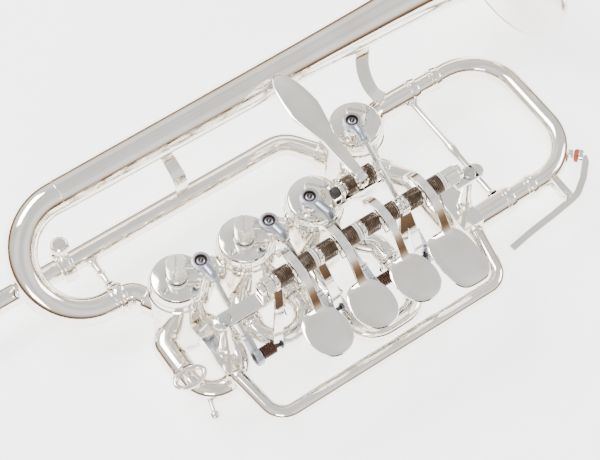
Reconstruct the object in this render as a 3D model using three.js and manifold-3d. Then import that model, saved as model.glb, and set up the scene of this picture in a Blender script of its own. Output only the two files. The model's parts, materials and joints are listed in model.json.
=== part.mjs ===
// A small four-valve rotary trumpet lying on its back: +X towards the bell's mouth, +Z up along the rotors.
// All sizes are in millimetres. Places are measured from the top face of the first valve's cap.
import * as THREE from 'three';
import { mergeVertices } from 'three/addons/utils/BufferGeometryUtils.js';
import Module from 'manifold-3d';

const wasm = await Module();
wasm.setup();

// Clearances and overruns that every piece shares
const fit = 0.3;
const overrun = 2;
const mergeDistance = 1e-4;
const simplifyDistance = 0.03;

// Tubing
const tubing = { level: -34, outer: 5.3, bore: 4.3, slideOuter: 6.4, slideInner: 5, slideBore: 4.2, bendShare: 1.6, sides: 8 };
const bendSteps = 4;
const elbowSteps = 2;
const ring = { thick: 1, length: 3.2 };

// Valves: places of the four rotor axes, the directions of their four ports in degrees, and the turn from
// a port to the middle of the passage that leads from it to its neighbour at rest
const valvePlace = { secondX: 34.6, thirdX: 71, fourthX: 109, fourthY: 22 };
const valves = [
  { x: 0, y: 0, ports: [118, 28, -62, -152], passage: -45 },
  { x: valvePlace.secondX, y: 0, ports: [135, 45, -45, -135], passage: -45 },
  { x: valvePlace.thirdX, y: 0, ports: [135, 45, -45, -135], passage: -45 },
  { x: valvePlace.fourthX, y: valvePlace.fourthY, ports: [125, 35, -55, -145], passage: 45 },
];
const socketPorts = [[0], [], [], [0, 1, 2]];
const casing = { radius: 13.4, bore: 11.9, top: -8.2, bottom: -47, floor: 2.4, sides: 16, bend: 6 };
const hubSides = 10;
const roundSides = 12;
const cap = { radius: 13, topRadius: 11.4, rim: 7.9, edge: 3, plug: 4, screw: 1.7, screwHeight: 0.8, screwPlace: 8.6,
  screwAngles: [-160, 20] };
const rotor = { radius: 11.6, height: 15, spindle: 2.6, top: 8.2, port: 4.2, pivot: 2.2, sides: 10 };
const socket = { outer: 7.2, length: 4.5 };
const slideOverlap = 5;

// Stop arms: the barrel on the spindle and the arm under the upper ball joint
const stop = { barrel: 4.4, slot: 1.2, slotDepth: 1.6, width: 4.4, pad: 3, top: 8.4, thick: 2.6,
  stripShare: 0.8, stripFrom: 0.8 };
const stopArms = [
  { reach: 10.6, angle: -34, top: 12.4 },
  { reach: 10.6, angle: -34, top: 12.4 },
  { reach: 8.6, angle: -138, top: 10.2 },
  { reach: 8.6, angle: -138, top: 10.2 },
];

// Key hinge and levers
const hinge = { y: -29.5, z: 9, rod: 2, bore: 2.35, hub: 3.1, flange: 4.4, flangeThick: 1.7, collar: 4.6 };
const keyPitch = 22.6;
const firstKey = 40.6;
const hubBefore = 11.6;
const hubAfter = keyPitch - hubBefore - fit;
const keyArm = {
  width: 4, thick: 2, collar: 2.4,
  // The arm's middle line from its tail to the finger plate, from the hinge's axis
  line: [[11.2, -4], [10.6, 0.6], [5.4, 5.1], [-1, 5.5], [-7, 4.1], [-11.5, 1.2], [-15, -4], [-19.5, -8.6], [-24, -9]],
};
const touch = {
  y: -58, z: 0, thick: 2.2, width: 20, length: 25, power: 0.92, steps: 14, lowShare: 0.97,
  last: { y: -60.5, length: 30, power: 0.62 },
};
const touchShifts = [-2.6, -2, -2, -3.4];
const lowerArm = {
  width: 5.4, thick: 1.5, kneeY: -3.2, kneeZ: -4.4, hipShare: 0.35, hipY: -8, hipZ: -10.5,
  footShare: 0.8, footY: 2, footZ: 8, end: 2.6,
};
const ball = { ring: 4.15, height: 3, level: 13, core: 2.6, pin: 1.4, pinGap: 1.5, shank: 1.76, shankLength: 10, shankDrop: 2.5, rod: 1.3, sunk: 0.7 };
const linkBends = [7.5, 7.5, 10.5, 7.5];
const linkSides = 6;
const knob = { sides: 8, rows: 5 };
const lowerBall = { y: -43.7, z: -17, core: 2.4, stud: 1.5, eye: 2.75 };
const lowerBallX = [11.5, 49.8, 73.4, 102];
const lowerArmX = [22, 53.8, 87, 97.6];
const drivenRight = 2;

// Springs wound round the key hubs
const spring = { wire: 0.45, radius: 3.95, pitch: 1.54, steps: 8, sides: 5, legAngle: -30, reach: 7.6 };
const springTurns = [[4, 4], [4, 4], [4, 3], [4, 4]];
const springLegs = [[21, 15], [13, 6], [11, 11], [11, 15]];
const hairpinDrop = 3.1;
const thumbSpring = { legs: [4, 4], turns: [3, 2], gap: 1, reach: 6.08, pitch: 1.36 };

// Frame under the keys
const bar = {
  top: 4.8, thick: 1.8, width: 7.4, aside: 1.5, under: 2.4, lug: 2, lugRadius: 3.4, lugShare: 0.9,
  leftFrom: -1.2, leftTo: 24.5, rightFrom: 126.2, rightTo: 139.8, steps: 8,
};
const barY = hinge.y - bar.aside;
const pillar = {
  topRadius: 2.2, headRadius: 3.2, headHeight: 3, footRadius: 3.4, footHeight: 2, leftX: 4, rightX: 132.5,
};
const barScrew = { head: 3.1, topShare: 0.8, height: 1.2, slot: 0.7, stem: 1.7 };
const sleeve = { radius: 4.1, ridge: 0.35, ridges: 2 };
const base = { top: -21.3, thick: 6.4, leftX: 0.4, leftWidth: 7, rightX: 130, rightWidth: 11, from: -13.8, to: -42 };
const frameRod = { radius: 3.6, z: -24, leftX: 1, cornerX: 4.6, farX: 124, endX: 129.6, y: -70.6, corner: 9 };

// Thumb key
const thumb = {
  y: -8.5, z: 10, x: 89.3, rod: 1.5, hub: 2.9, collar: 4.1, from: 80.4, to: 97.4, paddle: 15, plate: 2,
};
const thumbPaddle = {
  neckY: 6, startY: 30, endY: 57, neck: 6.4, neckShare: 0.8, z: 12.4, edgeShare: 0.95, steps: 8,
};
const thumbStand = { ear: 2.4, plateDrop: 6.4, plateThick: 2, foot: 2.6, footAside: 8 };
const bumper = { radius: 2.6, height: 3.2 };

// Leadpipe and receiver
const leadpipe = { y: 51.2, from: -96, bend: 13 };
const receiver = { from: -130, radius: 7.2, bore: 5.7, length: 38, collar: 3, step: 0.8 };
const shank = { outer: 5.2, bore: 4, rim: 7, rimLength: 4, out: 22 };

// Bell and bow
const bell = { y: 67, z: -4, tail: -21, rim: 228, tailRadius: 7.9, throat: 9.4, mouth: 47.5, wall: 0.8, bead: 1.4 };
const flare = { reach: 14, power: 1.9, sides: 16, shares: [0, 0.6, 0.77, 0.86, 0.915, 0.95, 0.975, 0.99, 1] };
const bow = { y: 22.7, x: -23.5, thin: 6.5, wall: 0.9, bend: 7, steps: 7 };

// Front loop on the fourth valve
const front = {
  upperY: 40, lowerY: -34.5, legTo: 158, overlap: 15, reach: 41, corner: 24, lowerX: 125, elbow: 7, bend: 9,
};
const frontEnd = front.legTo + front.reach;

// Slides of the first three valves
const slideBend = 12;
const slides = [
  { left: -14.5, right: 9.5, tubeTo: -25, end: -41 },
  { left: -11.5, right: 11.5, tubeTo: -21, end: -36 },
  { left: -11.5, right: 21, tubeTo: -31, end: -57 },
];

const grip = {
  aside: -1, down: -6.5, up: 7.6, long: 7, short: 4, wire: 1.2, knobAside: 2.4, knobLength: 8.5, knob: 2.4,
};

// Braces, straps, clamp and water key
const brace = { radius: 1.7, foot: 3.2, footThick: 1.2, frontX: 152 };
const strap = { width: 6, thick: 1.5 };
const clamp = { x: -30.5, width: 7, wall: 2.2, stem: 1.3, knob: 4.2, stemTo: -18, knobTo: -14.2 };
const waterKey = {
  aside: -5, out: 13.5, hub: 2.2, height: 3, armWidth: 3.2, armHeight: 2.2, pin: 1, post: 1.8, thick: 1.6, nipple: 2.6, cork: 3.3, corkThick: 2.6,
  // The arm's bends from the cork's cup to the finger end, from the pivot
  arm: [[18.6, 8.9], [12, 2.6], [5, -2.2], [-0.5, -3.4], [-10.5, -4.8], [-25.5, -6.4], [-38.5, -8.4]],
};

const silver = { color: 0xdcd9d2, roughness: 0.16, metalness: 1 };
const satin = { color: 0xc9c7c2, roughness: 0.32, metalness: 1 };
const steel = { color: 0x8f959d, roughness: 0.35, metalness: 1 };
const bronze = { color: 0x4a352a, roughness: 0.5, metalness: 0.8 };
const rubber = { color: 0x1c1a19, roughness: 0.8, metalness: 0 };
const cork = { color: 0xa5432c, roughness: 0.9, metalness: 0 };

const trumpet = new THREE.Group();
const axisX = new THREE.Vector3(1, 0, 0);
const axisY = new THREE.Vector3(0, 1, 0);
const axisZ = new THREE.Vector3(0, 0, 1);
const at = (x, y, z) => new THREE.Vector3(x, y, z);
const radians = THREE.MathUtils.degToRad;
const average = (a, b) => (a + b) / 2;

function solid(geometry) {
  const bare = geometry.clone();
  bare.deleteAttribute('normal');
  bare.deleteAttribute('uv');
  const merged = mergeVertices(bare, mergeDistance);
  const vertProperties = Float32Array.from(merged.attributes.position.array);
  const triVerts = Uint32Array.from(merged.index.array);
  return new wasm.Manifold(new wasm.Mesh({ numProp: 3, vertProperties, triVerts }));
}

function surface(body) {
  const mesh = body.simplify(simplifyDistance).getMesh();
  const geometry = new THREE.BufferGeometry();
  geometry.setAttribute('position', new THREE.Float32BufferAttribute(mesh.vertProperties, 3));
  geometry.setIndex(Array.from(mesh.triVerts));
  geometry.computeVertexNormals();
  return geometry;
}

function join(...geometries) {
  return geometries.map(solid).reduce((body, next) => body.add(next));
}

function cut(body, ...geometries) {
  return geometries.map(solid).reduce((rest, next) => rest.subtract(next), body);
}

function place(name, shape, finish) {
  const geometry = surface(shape.isBufferGeometry ? solid(shape) : shape);
  const mesh = new THREE.Mesh(geometry, new THREE.MeshStandardMaterial(finish));
  mesh.name = name;
  trumpet.add(mesh);
}

function facingOut(geometry) {
  const { position } = geometry.attributes;
  const corners = Array.from(geometry.index.array);
  const corner = (i) => new THREE.Vector3().fromBufferAttribute(position, corners[i]);
  let volume = 0;
  for (let i = 0; i < corners.length; i += 3) volume += corner(i).dot(corner(i + 1).cross(corner(i + 2)));
  if (volume < 0) geometry.setIndex(corners.reverse());
  geometry.computeVertexNormals();
  return geometry;
}

// Joins a row of rings of points into one skin, either capped at its ends or closed on itself
function loft(rings, closed = false) {
  const count = rings[0].length;
  const points = rings.flat();
  const index = [];
  const last = closed ? rings.length : rings.length - 1;
  for (let i = 0; i < last; i++) {
    const here = i * count;
    const next = ((i + 1) % rings.length) * count;
    for (let j = 0; j < count; j++) {
      const k = (j + 1) % count;
      index.push(here + j, here + k, next + k, here + j, next + k, next + j);
    }
  }
  if (!closed) {
    const end = last * count;
    for (let j = 1; j < count - 1; j++) index.push(0, j + 1, j, end, end + j, end + j + 1);
  }
  const geometry = new THREE.BufferGeometry();
  geometry.setAttribute('position', new THREE.Float32BufferAttribute(points.flatMap((p) => p.toArray()), 3));
  geometry.setIndex(index);
  return facingOut(geometry);
}

// A section's ring at each point of a route, carried along without twist from the given side
function ringsAlong(points, sectionAt, side) {
  const across = side.clone();
  return points.map((point, i) => {
    const before = points[Math.max(i - 1, 0)];
    const after = points[Math.min(i + 1, points.length - 1)];
    const into = point.clone().sub(before).normalize();
    const out = after.clone().sub(point).normalize();
    const tangent = into.add(out).normalize();
    across.addScaledVector(tangent, -across.dot(tangent)).normalize();
    const up = tangent.clone().cross(across);
    return sectionAt(i).map(([a, b]) => point.clone().addScaledVector(across, a).addScaledVector(up, b));
  });
}

function circle(radius, sides) {
  return Array.from({ length: sides }, (_, i) => {
    const angle = (2 * Math.PI * (i + 0.5)) / sides;
    return [radius * Math.cos(angle), radius * Math.sin(angle)];
  });
}

// The corner radius of a many-sided hole that a rod of the given radius passes through
const bored = (radius, sides = tubing.sides) => (radius + fit) / Math.cos(Math.PI / sides);

function rectangle(width, thick) {
  return [[-width / 2, -thick / 2], [width / 2, -thick / 2], [width / 2, thick / 2], [-width / 2, thick / 2]];
}

const sideFor = (points) => {
  const start = points[1].clone().sub(points[0]).normalize();
  return Math.abs(start.z) > 0.9 ? axisX : axisZ;
};

function strip(points, section, side = sideFor(points)) {
  return loft(ringsAlong(points, () => section, side));
}

function rod(points, radius, sides = tubing.sides) {
  return strip(points, circle(radius, sides));
}

function pipe(points, outer, bore, sides = tubing.sides) {
  const outerAt = (i) => circle(Array.isArray(outer) ? outer[i] : outer, sides);
  const boreAt = (i) => circle(Array.isArray(bore) ? bore[i] : bore, sides);
  const outside = ringsAlong(points, outerAt, sideFor(points));
  const inside = ringsAlong(points, boreAt, sideFor(points));
  return loft([...outside, ...inside.reverse()], true);
}

// Straight runs through the given corners with rounded bends
function route(corners, radius, steps = bendSteps) {
  const path = [corners[0]];
  for (let i = 1; i < corners.length - 1; i++) {
    const back = corners[i - 1].clone().sub(corners[i]).normalize();
    const on = corners[i + 1].clone().sub(corners[i]).normalize();
    const half = back.angleTo(on) / 2;
    const bendRadius = Array.isArray(radius) ? radius[i - 1] : radius;
    const centre = back.clone().add(on).normalize().multiplyScalar(bendRadius / Math.sin(half)).add(corners[i]);
    const reach = bendRadius / Math.tan(half);
    const start = corners[i].clone().addScaledVector(back, reach).sub(centre);
    const end = corners[i].clone().addScaledVector(on, reach).sub(centre);
    const turnAxis = start.clone().cross(end).normalize();
    for (let s = 0; s <= steps; s++) {
      const angle = ((Math.PI - 2 * half) * s) / steps;
      path.push(start.clone().applyAxisAngle(turnAxis, angle).add(centre));
    }
  }
  path.push(corners[corners.length - 1]);
  return path;
}

function turned(profile, sides, origin, axis = axisZ) {
  const points = profile.map(([radius, height]) => new THREE.Vector2(radius, height));
  const geometry = new THREE.LatheGeometry(points, sides);
  geometry.applyQuaternion(new THREE.Quaternion().setFromUnitVectors(axisY, axis));
  return facingOut(geometry.translate(origin.x, origin.y, origin.z));
}

function disc(origin, axis, radius, from, to, sides = tubing.sides) {
  return turned([[0, from], [radius, from], [radius, to], [0, to]], sides, origin, axis);
}

function block(x0, x1, y0, y1, z0, z1) {
  const geometry = new THREE.BoxGeometry(x1 - x0, y1 - y0, z1 - z0);
  return geometry.translate(average(x0, x1), average(y0, y1), average(z0, z1));
}

const spot = (valve, z) => at(valve.x, valve.y, z);

function port(valve, index, distance) {
  const angle = radians(valve.ports[index]);
  return at(valve.x + distance * Math.cos(angle), valve.y + distance * Math.sin(angle), tubing.level);
}

// Valves
function portBore(valve, index) {
  const from = port(valve, index, rotor.radius - overrun);
  return rod([from, port(valve, index, casing.radius + socket.length + overrun)], tubing.slideBore);
}

function portSocket(valve, index) {
  return rod([port(valve, index, casing.bore + fit), port(valve, index, casing.radius + socket.length)], socket.outer);
}

function socketBore(valve, index) {
  const from = port(valve, index, casing.radius + fit);
  return rod([from, port(valve, index, casing.radius + socket.length + overrun)], bored(tubing.outer));
}

const knucklePort = (k) => (k === 3 ? 3 : 0);

function knuckleRoute(from, fromPort, to, toPort) {
  const start = port(from, fromPort, casing.bore + fit);
  const end = port(to, toPort, casing.radius + fit);
  const out = port(from, fromPort, casing.radius + tubing.slideOuter);
  const into = port(to, toPort, casing.radius + tubing.slideOuter);
  return [start, out, into, end];
}

function slideTubeRoute(valve, index, x, tubeTo) {
  const start = port(valve, index, casing.bore + fit);
  const angle = radians(valve.ports[index]);
  const reach = (x - valve.x) / Math.cos(angle);
  const corner = port(valve, index, reach);
  const bendRadius = Math.min(casing.bend, (reach - casing.radius) * tubing.bendShare);
  return route([start, corner, at(x, tubeTo, tubing.level)], bendRadius, 2);
}

// The same route with its two ends moved outwards
function overrunning(path) {
  const moved = (end, before) => end.clone().sub(before).setLength(overrun).add(end);
  const last = path.length - 1;
  return [moved(path[0], path[1]), ...path.slice(1, last), moved(path[last], path[last - 1])];
}

function casingBody(valve, k) {
  const outside = [[0, casing.bottom], [casing.radius, casing.bottom], [casing.radius, casing.top], [0, casing.top]];
  let body = solid(turned(outside, casing.sides, spot(valve, 0)));
  const routes = [];
  if (k < 3) {
    const slide = slides[k];
    routes.push(slideTubeRoute(valve, 3, valve.x + slide.left, slide.tubeTo));
    routes.push(slideTubeRoute(valve, 2, valve.x + slide.right, slide.tubeTo));
    routes.push(knuckleRoute(valve, 1, valves[k + 1], knucklePort(k + 1)));
  }
  for (const path of routes) body = body.add(solid(rod(path, tubing.slideOuter)));
  for (const index of socketPorts[k]) body = body.add(solid(portSocket(valve, index)));
  for (const path of routes) body = body.subtract(solid(rod(overrunning(path), bored(tubing.slideInner))));
  for (const index of socketPorts[k]) {
    body = cut(body, portBore(valve, index));
    if (index === 0) body = cut(body, socketBore(valve, index));
  }
  const chamber = [
    [0, casing.bottom - overrun], [rotor.pivot + fit, casing.bottom - overrun],
    [rotor.pivot + fit, casing.bottom + casing.floor], [casing.bore, casing.bottom + casing.floor],
    [casing.bore, casing.top + overrun], [0, casing.top + overrun],
  ];
  body = body.subtract(solid(turned(chamber, casing.sides, spot(valve, 0))));
  if (k > 0) {
    const knuckle = knuckleRoute(valves[k - 1], 1, valve, knucklePort(k));
    const far = knuckle[3].clone().sub(knuckle[2]).setLength(casing.radius - casing.bore + overrun).add(knuckle[3]);
    body = body.subtract(solid(rod([knuckle[3], far], tubing.slideBore)));
  }
  return body;
}

function capBody(valve) {
  const hole = rotor.spindle + fit;
  const profile = [
    [hole, 0], [cap.topRadius, 0], [cap.radius, -cap.edge], [cap.radius, -cap.rim], [casing.bore - fit, -cap.rim],
    [casing.bore - fit, -cap.rim - cap.plug], [hole, -cap.rim - cap.plug], [hole, 0],
  ];
  let body = solid(turned(profile, casing.sides, spot(valve, 0)));
  for (const angle of cap.screwAngles) {
    const origin = at(cap.screwPlace, 0, 0).applyAxisAngle(axisZ, radians(angle)).add(spot(valve, 0));
    body = body.add(solid(disc(origin, axisZ, cap.screw, -cap.screwHeight, cap.screwHeight)));
  }
  return body;
}

function rotorBody(valve) {
  const low = tubing.level - rotor.height / 2;
  const high = tubing.level + rotor.height / 2;
  const profile = [
    [0, casing.bottom + fit], [rotor.pivot, casing.bottom + fit], [rotor.pivot, low], [rotor.radius, low],
    [rotor.radius, high], [rotor.spindle, high], [rotor.spindle, rotor.top], [0, rotor.top],
  ];
  let body = solid(turned(profile, rotor.sides, spot(valve, 0)));
  for (const first of [0, 2]) {
    const middle = radians(valve.ports[first] + valve.passage);
    const reach = rotor.radius * Math.SQRT2;
    const centre = at(reach * Math.cos(middle), reach * Math.sin(middle), tubing.level).add(spot(valve, 0));
    const path = [];
    for (let step = -1; step <= 4; step++) {
      const angle = middle + Math.PI + radians(-45 + step * 30);
      path.push(at(rotor.radius * Math.cos(angle), rotor.radius * Math.sin(angle), 0).add(centre));
    }
    body = body.subtract(solid(rod(path, rotor.port, 6)));
  }
  return body;
}

function stopArmBody(valve, arm) {
  const out = at(1, 0, 0).applyAxisAngle(axisZ, radians(arm.angle));
  const from = spot(valve, 0).addScaledVector(out, stop.barrel * stop.stripFrom);
  const end = spot(valve, 0).addScaledVector(out, arm.reach);
  const low = stop.top - stop.thick;
  const middle = average(low, stop.top);
  const barrel = [
    [0, rotor.top + fit], [rotor.spindle + fit, rotor.top + fit], [rotor.spindle + fit, 2 * fit],
    [stop.barrel, 2 * fit], [stop.barrel, arm.top], [0, arm.top],
  ];
  const slot = block(
    valve.x - stop.barrel - overrun, valve.x + stop.barrel + overrun,
    valve.y - stop.slot / 2, valve.y + stop.slot / 2, arm.top - stop.slotDepth, arm.top + overrun,
  );
  return cut(join(
    turned(barrel, casing.sides, spot(valve, 0)),
    strip([from.setZ(middle), end.clone().setZ(middle)], rectangle(stop.thick * stop.stripShare, stop.width)),
    disc(end, axisZ, stop.pad, low, stop.top),
  ), slot);
}

valves.forEach((valve, k) => {
  place(`casing_${k + 1}`, casingBody(valve, k), silver);
  place(`cap_${k + 1}`, capBody(valve), silver);
  place(`rotor_${k + 1}`, rotorBody(valve), steel);
  place(`stop_arm_${k + 1}`, stopArmBody(valve, stopArms[k]), silver);
});

// Links between the key levers and the stop arms, each bent down under the key hinge
function upperBallPlace(k) {
  const { reach, angle } = stopArms[k];
  const x = valves[k].x + reach * Math.cos(radians(angle));
  return at(x, valves[k].y + reach * Math.sin(radians(angle)), ball.level);
}

const lowerBallPlace = (k) => at(lowerBallX[k], lowerBall.y, lowerBall.z);

function linkBody(k) {
  const top = upperBallPlace(k);
  const low = lowerBallPlace(k);
  const shift = ((low.x - top.x) * linkBends[k]) / (top.y - low.y);
  const level = at(top.x + shift, top.y - linkBends[k], top.z);
  const slope = low.clone().sub(level).normalize();
  const shankEnd = level.clone().addScaledVector(slope, ball.shankDrop);
  const eyeTop = low.clone().addScaledVector(slope, -ball.ring);
  const lowShank = low.clone().addScaledVector(slope, -ball.shankLength);
  const half = ball.height / 2;
  const eye = turned([
    [lowerBall.eye, -half], [ball.ring, -half], [ball.ring, half], [lowerBall.eye, half], [lowerBall.eye, -half],
  ], hubSides, low, axisX);
  return join(
    disc(top, axisZ, ball.ring, -half, half, 2 * linkSides),
    disc(top, axisZ, ball.core, half - fit, half + fit),
    disc(top, axisZ, ball.pin, stop.top + ball.pinGap - ball.level, 0, linkSides),
    rod([top.clone().add(at(0, -ball.core / 2, 0)), level, shankEnd], ball.shank, linkSides),
    rod([shankEnd.clone().addScaledVector(slope, -ball.sunk), lowShank.clone().addScaledVector(slope, ball.sunk)],
      ball.rod, linkSides),
    rod([lowShank, eyeTop.addScaledVector(slope, ball.sunk)], ball.shank, linkSides),
    eye,
  );
}

// Key levers: hub on the hinge, arm over it, touchpiece and the arm that drives the link
const keyX = (k) => firstKey + k * keyPitch;
const hingeAt = (x, y = 0, z = 0) => at(x, hinge.y + y, hinge.z + z);

function touchBody(k) {
  const { y, length, power } = k === 3 ? touch.last : touch;
  const rounded = (value, size) => (Math.sign(value) * Math.abs(value) ** power * size) / 2;
  const outline = circle(1, touch.steps).map(([a, b]) => [rounded(a, touch.width), rounded(b, length)]);
  const ringAt = (share, z) => outline.map(([a, b]) => at(keyX(k) + touchShifts[k] + a * share, y + b * share, z));
  const low = touch.z - touch.thick / 2;
  const high = touch.z + touch.thick / 2;
  return loft([ringAt(touch.lowShare, low), ringAt(1, high)]);
}

function lowerArmRoute(k, webX) {
  const low = lowerBallPlace(k);
  const across = lowerArmX[k] - webX;
  return [
    hingeAt(webX), hingeAt(webX, lowerArm.kneeY, lowerArm.kneeZ),
    hingeAt(webX + across * lowerArm.hipShare, lowerArm.hipY, lowerArm.hipZ),
    at(webX + across * lowerArm.footShare, low.y + lowerArm.footY, low.z + lowerArm.footZ),
    at(lowerArmX[k], low.y, low.z), at(lowerArmX[k], low.y, low.z - lowerArm.end),
  ];
}

function leverBody(k) {
  const x = keyX(k);
  const low = lowerBallPlace(k);
  const hubFrom = x - hubBefore;
  const hubTo = x + hubAfter;
  const inFlange = hinge.flangeThick / 2;
  const right = k === drivenRight;
  const studEnd = low.x + (Math.sign(lowerArmX[k] - low.x) * lowerBall.core) / 2;
  const pieces = [
    disc(hingeAt(0), axisX, hinge.hub, hubFrom + inFlange, right ? hubTo - inFlange : hubTo, hubSides),
    disc(hingeAt(0), axisX, hinge.flange, hubFrom, hubFrom + hinge.flangeThick, hubSides),
    disc(hingeAt(0), axisX, hinge.collar, x - keyArm.collar / 2, x + keyArm.collar / 2, hubSides),
    strip(keyArm.line.map(([y, z]) => hingeAt(x, y, z)), rectangle(keyArm.width, keyArm.thick), axisX),
    touchBody(k),
    strip(lowerArmRoute(k, right ? hubTo - inFlange : hubFrom + inFlange),
      rectangle(lowerArm.thick, lowerArm.width), axisX),
    rod([at(lowerArmX[k], low.y, low.z), at(studEnd, low.y, low.z)], lowerBall.stud, linkSides),
    new THREE.SphereGeometry(lowerBall.core, knob.sides, knob.rows).translate(low.x, low.y, low.z),
  ];
  if (right) pieces.push(disc(hingeAt(0), axisX, hinge.flange, hubTo - hinge.flangeThick, hubTo, hubSides));
  return cut(join(...pieces), disc(hingeAt(0), axisX, hinge.bore, hubFrom - overrun, hubTo + overrun));
}

for (let k = 0; k < 4; k++) {
  place(`link_${k + 1}`, linkBody(k), steel);
  place(`lever_${k + 1}`, leverBody(k), silver);
}

// A double torsion spring: a leg, a coil, a hairpin under the key arm, the mirrored coil and its leg
function springRoute({ x, y, z }, coilRadius, legs, turns, gapHalf, reach, drop, pitch) {
  const step = (2 * Math.PI) / spring.steps;
  const legAngle = radians(spring.legAngle);
  const top = Math.PI / 2;
  const around = (px, angle) => at(px, y + coilRadius * Math.cos(angle), z + coilRadius * Math.sin(angle));
  const coil = (sign, count, leg) => {
    const total = count * 2 * Math.PI + top - legAngle;
    const steps = Math.round(total / step);
    const outer = x + sign * (gapHalf + (pitch * total) / (2 * Math.PI));
    const points = [];
    for (let i = 0; i <= steps; i++) {
      const share = i / steps;
      points.push(around(outer + sign * share * (gapHalf - Math.abs(outer - x)), legAngle + share * total));
    }
    const heading = at(0, Math.sin(legAngle), -Math.cos(legAngle));
    points.unshift(points[0].clone().addScaledVector(heading, leg));
    return points;
  };
  const left = coil(-1, turns[0], legs[0]);
  const right = coil(1, turns[1], legs[1]);
  const hairpin = [-1, 1].map((sign) => at(x + sign * (gapHalf + spring.wire), y - reach, z + coilRadius - drop));
  return [...left, ...hairpin, ...right.reverse()];
}

// The least gap between stretches of a wire that lie more than three quarters of a turn apart
function leastGap(points, radius, steps) {
  let least = Infinity;
  for (let i = 0; i < points.length; i++) {
    for (let j = i + Math.round(steps * 0.75); j < points.length; j++) {
      least = Math.min(least, points[i].distanceTo(points[j]) - 2 * radius);
    }
  }
  return least;
}

function springBody(points) {
  console.log('spring: least gap to itself', leastGap(points, spring.wire, spring.steps).toFixed(2), 'mm');
  return rod(points, spring.wire, spring.sides);
}

for (let k = 0; k < 4; k++) {
  const gapHalf = keyArm.width / 2 + spring.wire + fit;
  const centre = hingeAt(keyX(k));
  const points = springRoute(
    centre, spring.radius, springLegs[k], springTurns[k], gapHalf, spring.reach, hairpinDrop, spring.pitch,
  );
  place(`spring_${k + 1}`, springBody(points), bronze);
}

// Hinge rod with the knurled ends that hold it between the two bars
function hingeRodBody() {
  const pieces = [disc(hingeAt(0), axisX, hinge.rod, bar.leftTo + fit, bar.rightFrom - fit, hubSides)];
  const sleeves = [
    [bar.leftTo + fit, keyX(0) - hubBefore - fit],
    [keyX(3) + hubAfter + fit, bar.rightFrom - fit],
  ];
  for (const [from, to] of sleeves) {
    const ridgeLength = (to - from) / sleeve.ridges;
    const profile = [[0, from]];
    for (let i = 0; i < sleeve.ridges; i++) {
      const start = from + ridgeLength * i;
      profile.push([sleeve.radius - sleeve.ridge, start], [sleeve.radius, start + ridgeLength / 3]);
      profile.push([sleeve.radius - sleeve.ridge, start + (2 * ridgeLength) / 3]);
    }
    profile.push([sleeve.radius - sleeve.ridge, to], [0, to]);
    pieces.push(turned(profile, roundSides, hingeAt(0), axisX));
  }
  return join(...pieces);
}

// A flat bar with one round end, bored for its screw, and a lug that holds the hinge rod's end
function barBody(inner, outer, screwX) {
  const low = bar.top - bar.thick;
  const half = bar.width / 2;
  const outward = Math.sign(outer - inner);
  const centre = outer - outward * half;
  const tip = inner - outward * bar.under;
  const outline = [[tip, -half]];
  for (let i = 0; i <= bar.steps; i++) {
    const angle = Math.PI * (i / bar.steps - 1 / 2);
    outline.push([centre + outward * half * Math.cos(angle), half * Math.sin(angle)]);
  }
  outline.push([tip, half]);
  const layer = (z) => outline.map(([x, y]) => at(x, barY + y, z));
  const [from, to] = [inner, inner + outward * bar.lug].sort((a, b) => a - b);
  const hole = disc(at(screwX, barY, 0), axisZ, barScrew.stem + fit, low - overrun, bar.top + overrun);
  return cut(join(
    loft([layer(low), layer(bar.top)]),
    disc(hingeAt(0), axisX, bar.lugRadius, from, to, roundSides),
    block(from, to, hinge.y - bar.lugRadius * bar.lugShare, hinge.y + bar.lugRadius * bar.lugShare, low + fit, hinge.z),
  ), hole);
}

function barScrewBody(x) {
  const low = bar.top - bar.thick;
  const head = bar.top + fit;
  const top = head + barScrew.height;
  const profile = [
    [0, low + fit], [barScrew.stem, low + fit], [barScrew.stem, head], [barScrew.head, head],
    [barScrew.head * barScrew.topShare, top], [0, top],
  ];
  const slot = block(
    x - barScrew.slot / 2, x + barScrew.slot / 2, barY - barScrew.head - overrun,
    barY + barScrew.head + overrun, top - barScrew.slot, top + overrun,
  );
  return cut(solid(turned(profile, roundSides, at(x, barY, 0))), slot);
}

function standBody(x, baseX, baseWidth) {
  const head = bar.top - bar.thick - fit;
  const foot = base.top - base.thick / 2;
  return join(
    turned([
      [0, foot], [pillar.footRadius, foot], [pillar.footRadius, base.top + pillar.footHeight],
      [pillar.topRadius, head - pillar.headHeight], [pillar.headRadius, head], [0, head],
    ], roundSides, at(x, barY, 0)),
    block(baseX - baseWidth / 2, baseX + baseWidth / 2, base.to, base.from, base.top - base.thick, base.top),
  );
}

place('hinge_rod', hingeRodBody(), satin);
place('bar_left', barBody(bar.leftTo, bar.leftFrom, pillar.leftX), silver);
place('bar_right', barBody(bar.rightFrom, bar.rightTo, pillar.rightX), silver);
place('bar_screw_left', barScrewBody(pillar.leftX), steel);
place('bar_screw_right', barScrewBody(pillar.rightX), steel);
place('stand_left', standBody(pillar.leftX, base.leftX, base.leftWidth), silver);
place('stand_right', standBody(pillar.rightX, base.rightX, base.rightWidth), silver);

// The bent rod that the hand holds
place('hand_frame', rod(route([
  at(frameRod.leftX, base.to - 3 * fit, frameRod.z), at(frameRod.cornerX, frameRod.y, frameRod.z),
  at(frameRod.farX, frameRod.y, frameRod.z), at(frameRod.endX, base.to - 3 * fit, frameRod.z),
], frameRod.corner, bendSteps), frameRod.radius), silver);

// Thumb key over the third and fourth valves
const thumbAt = (x, y = 0, z = 0) => at(x, thumb.y + y, thumb.z + z);

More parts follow.
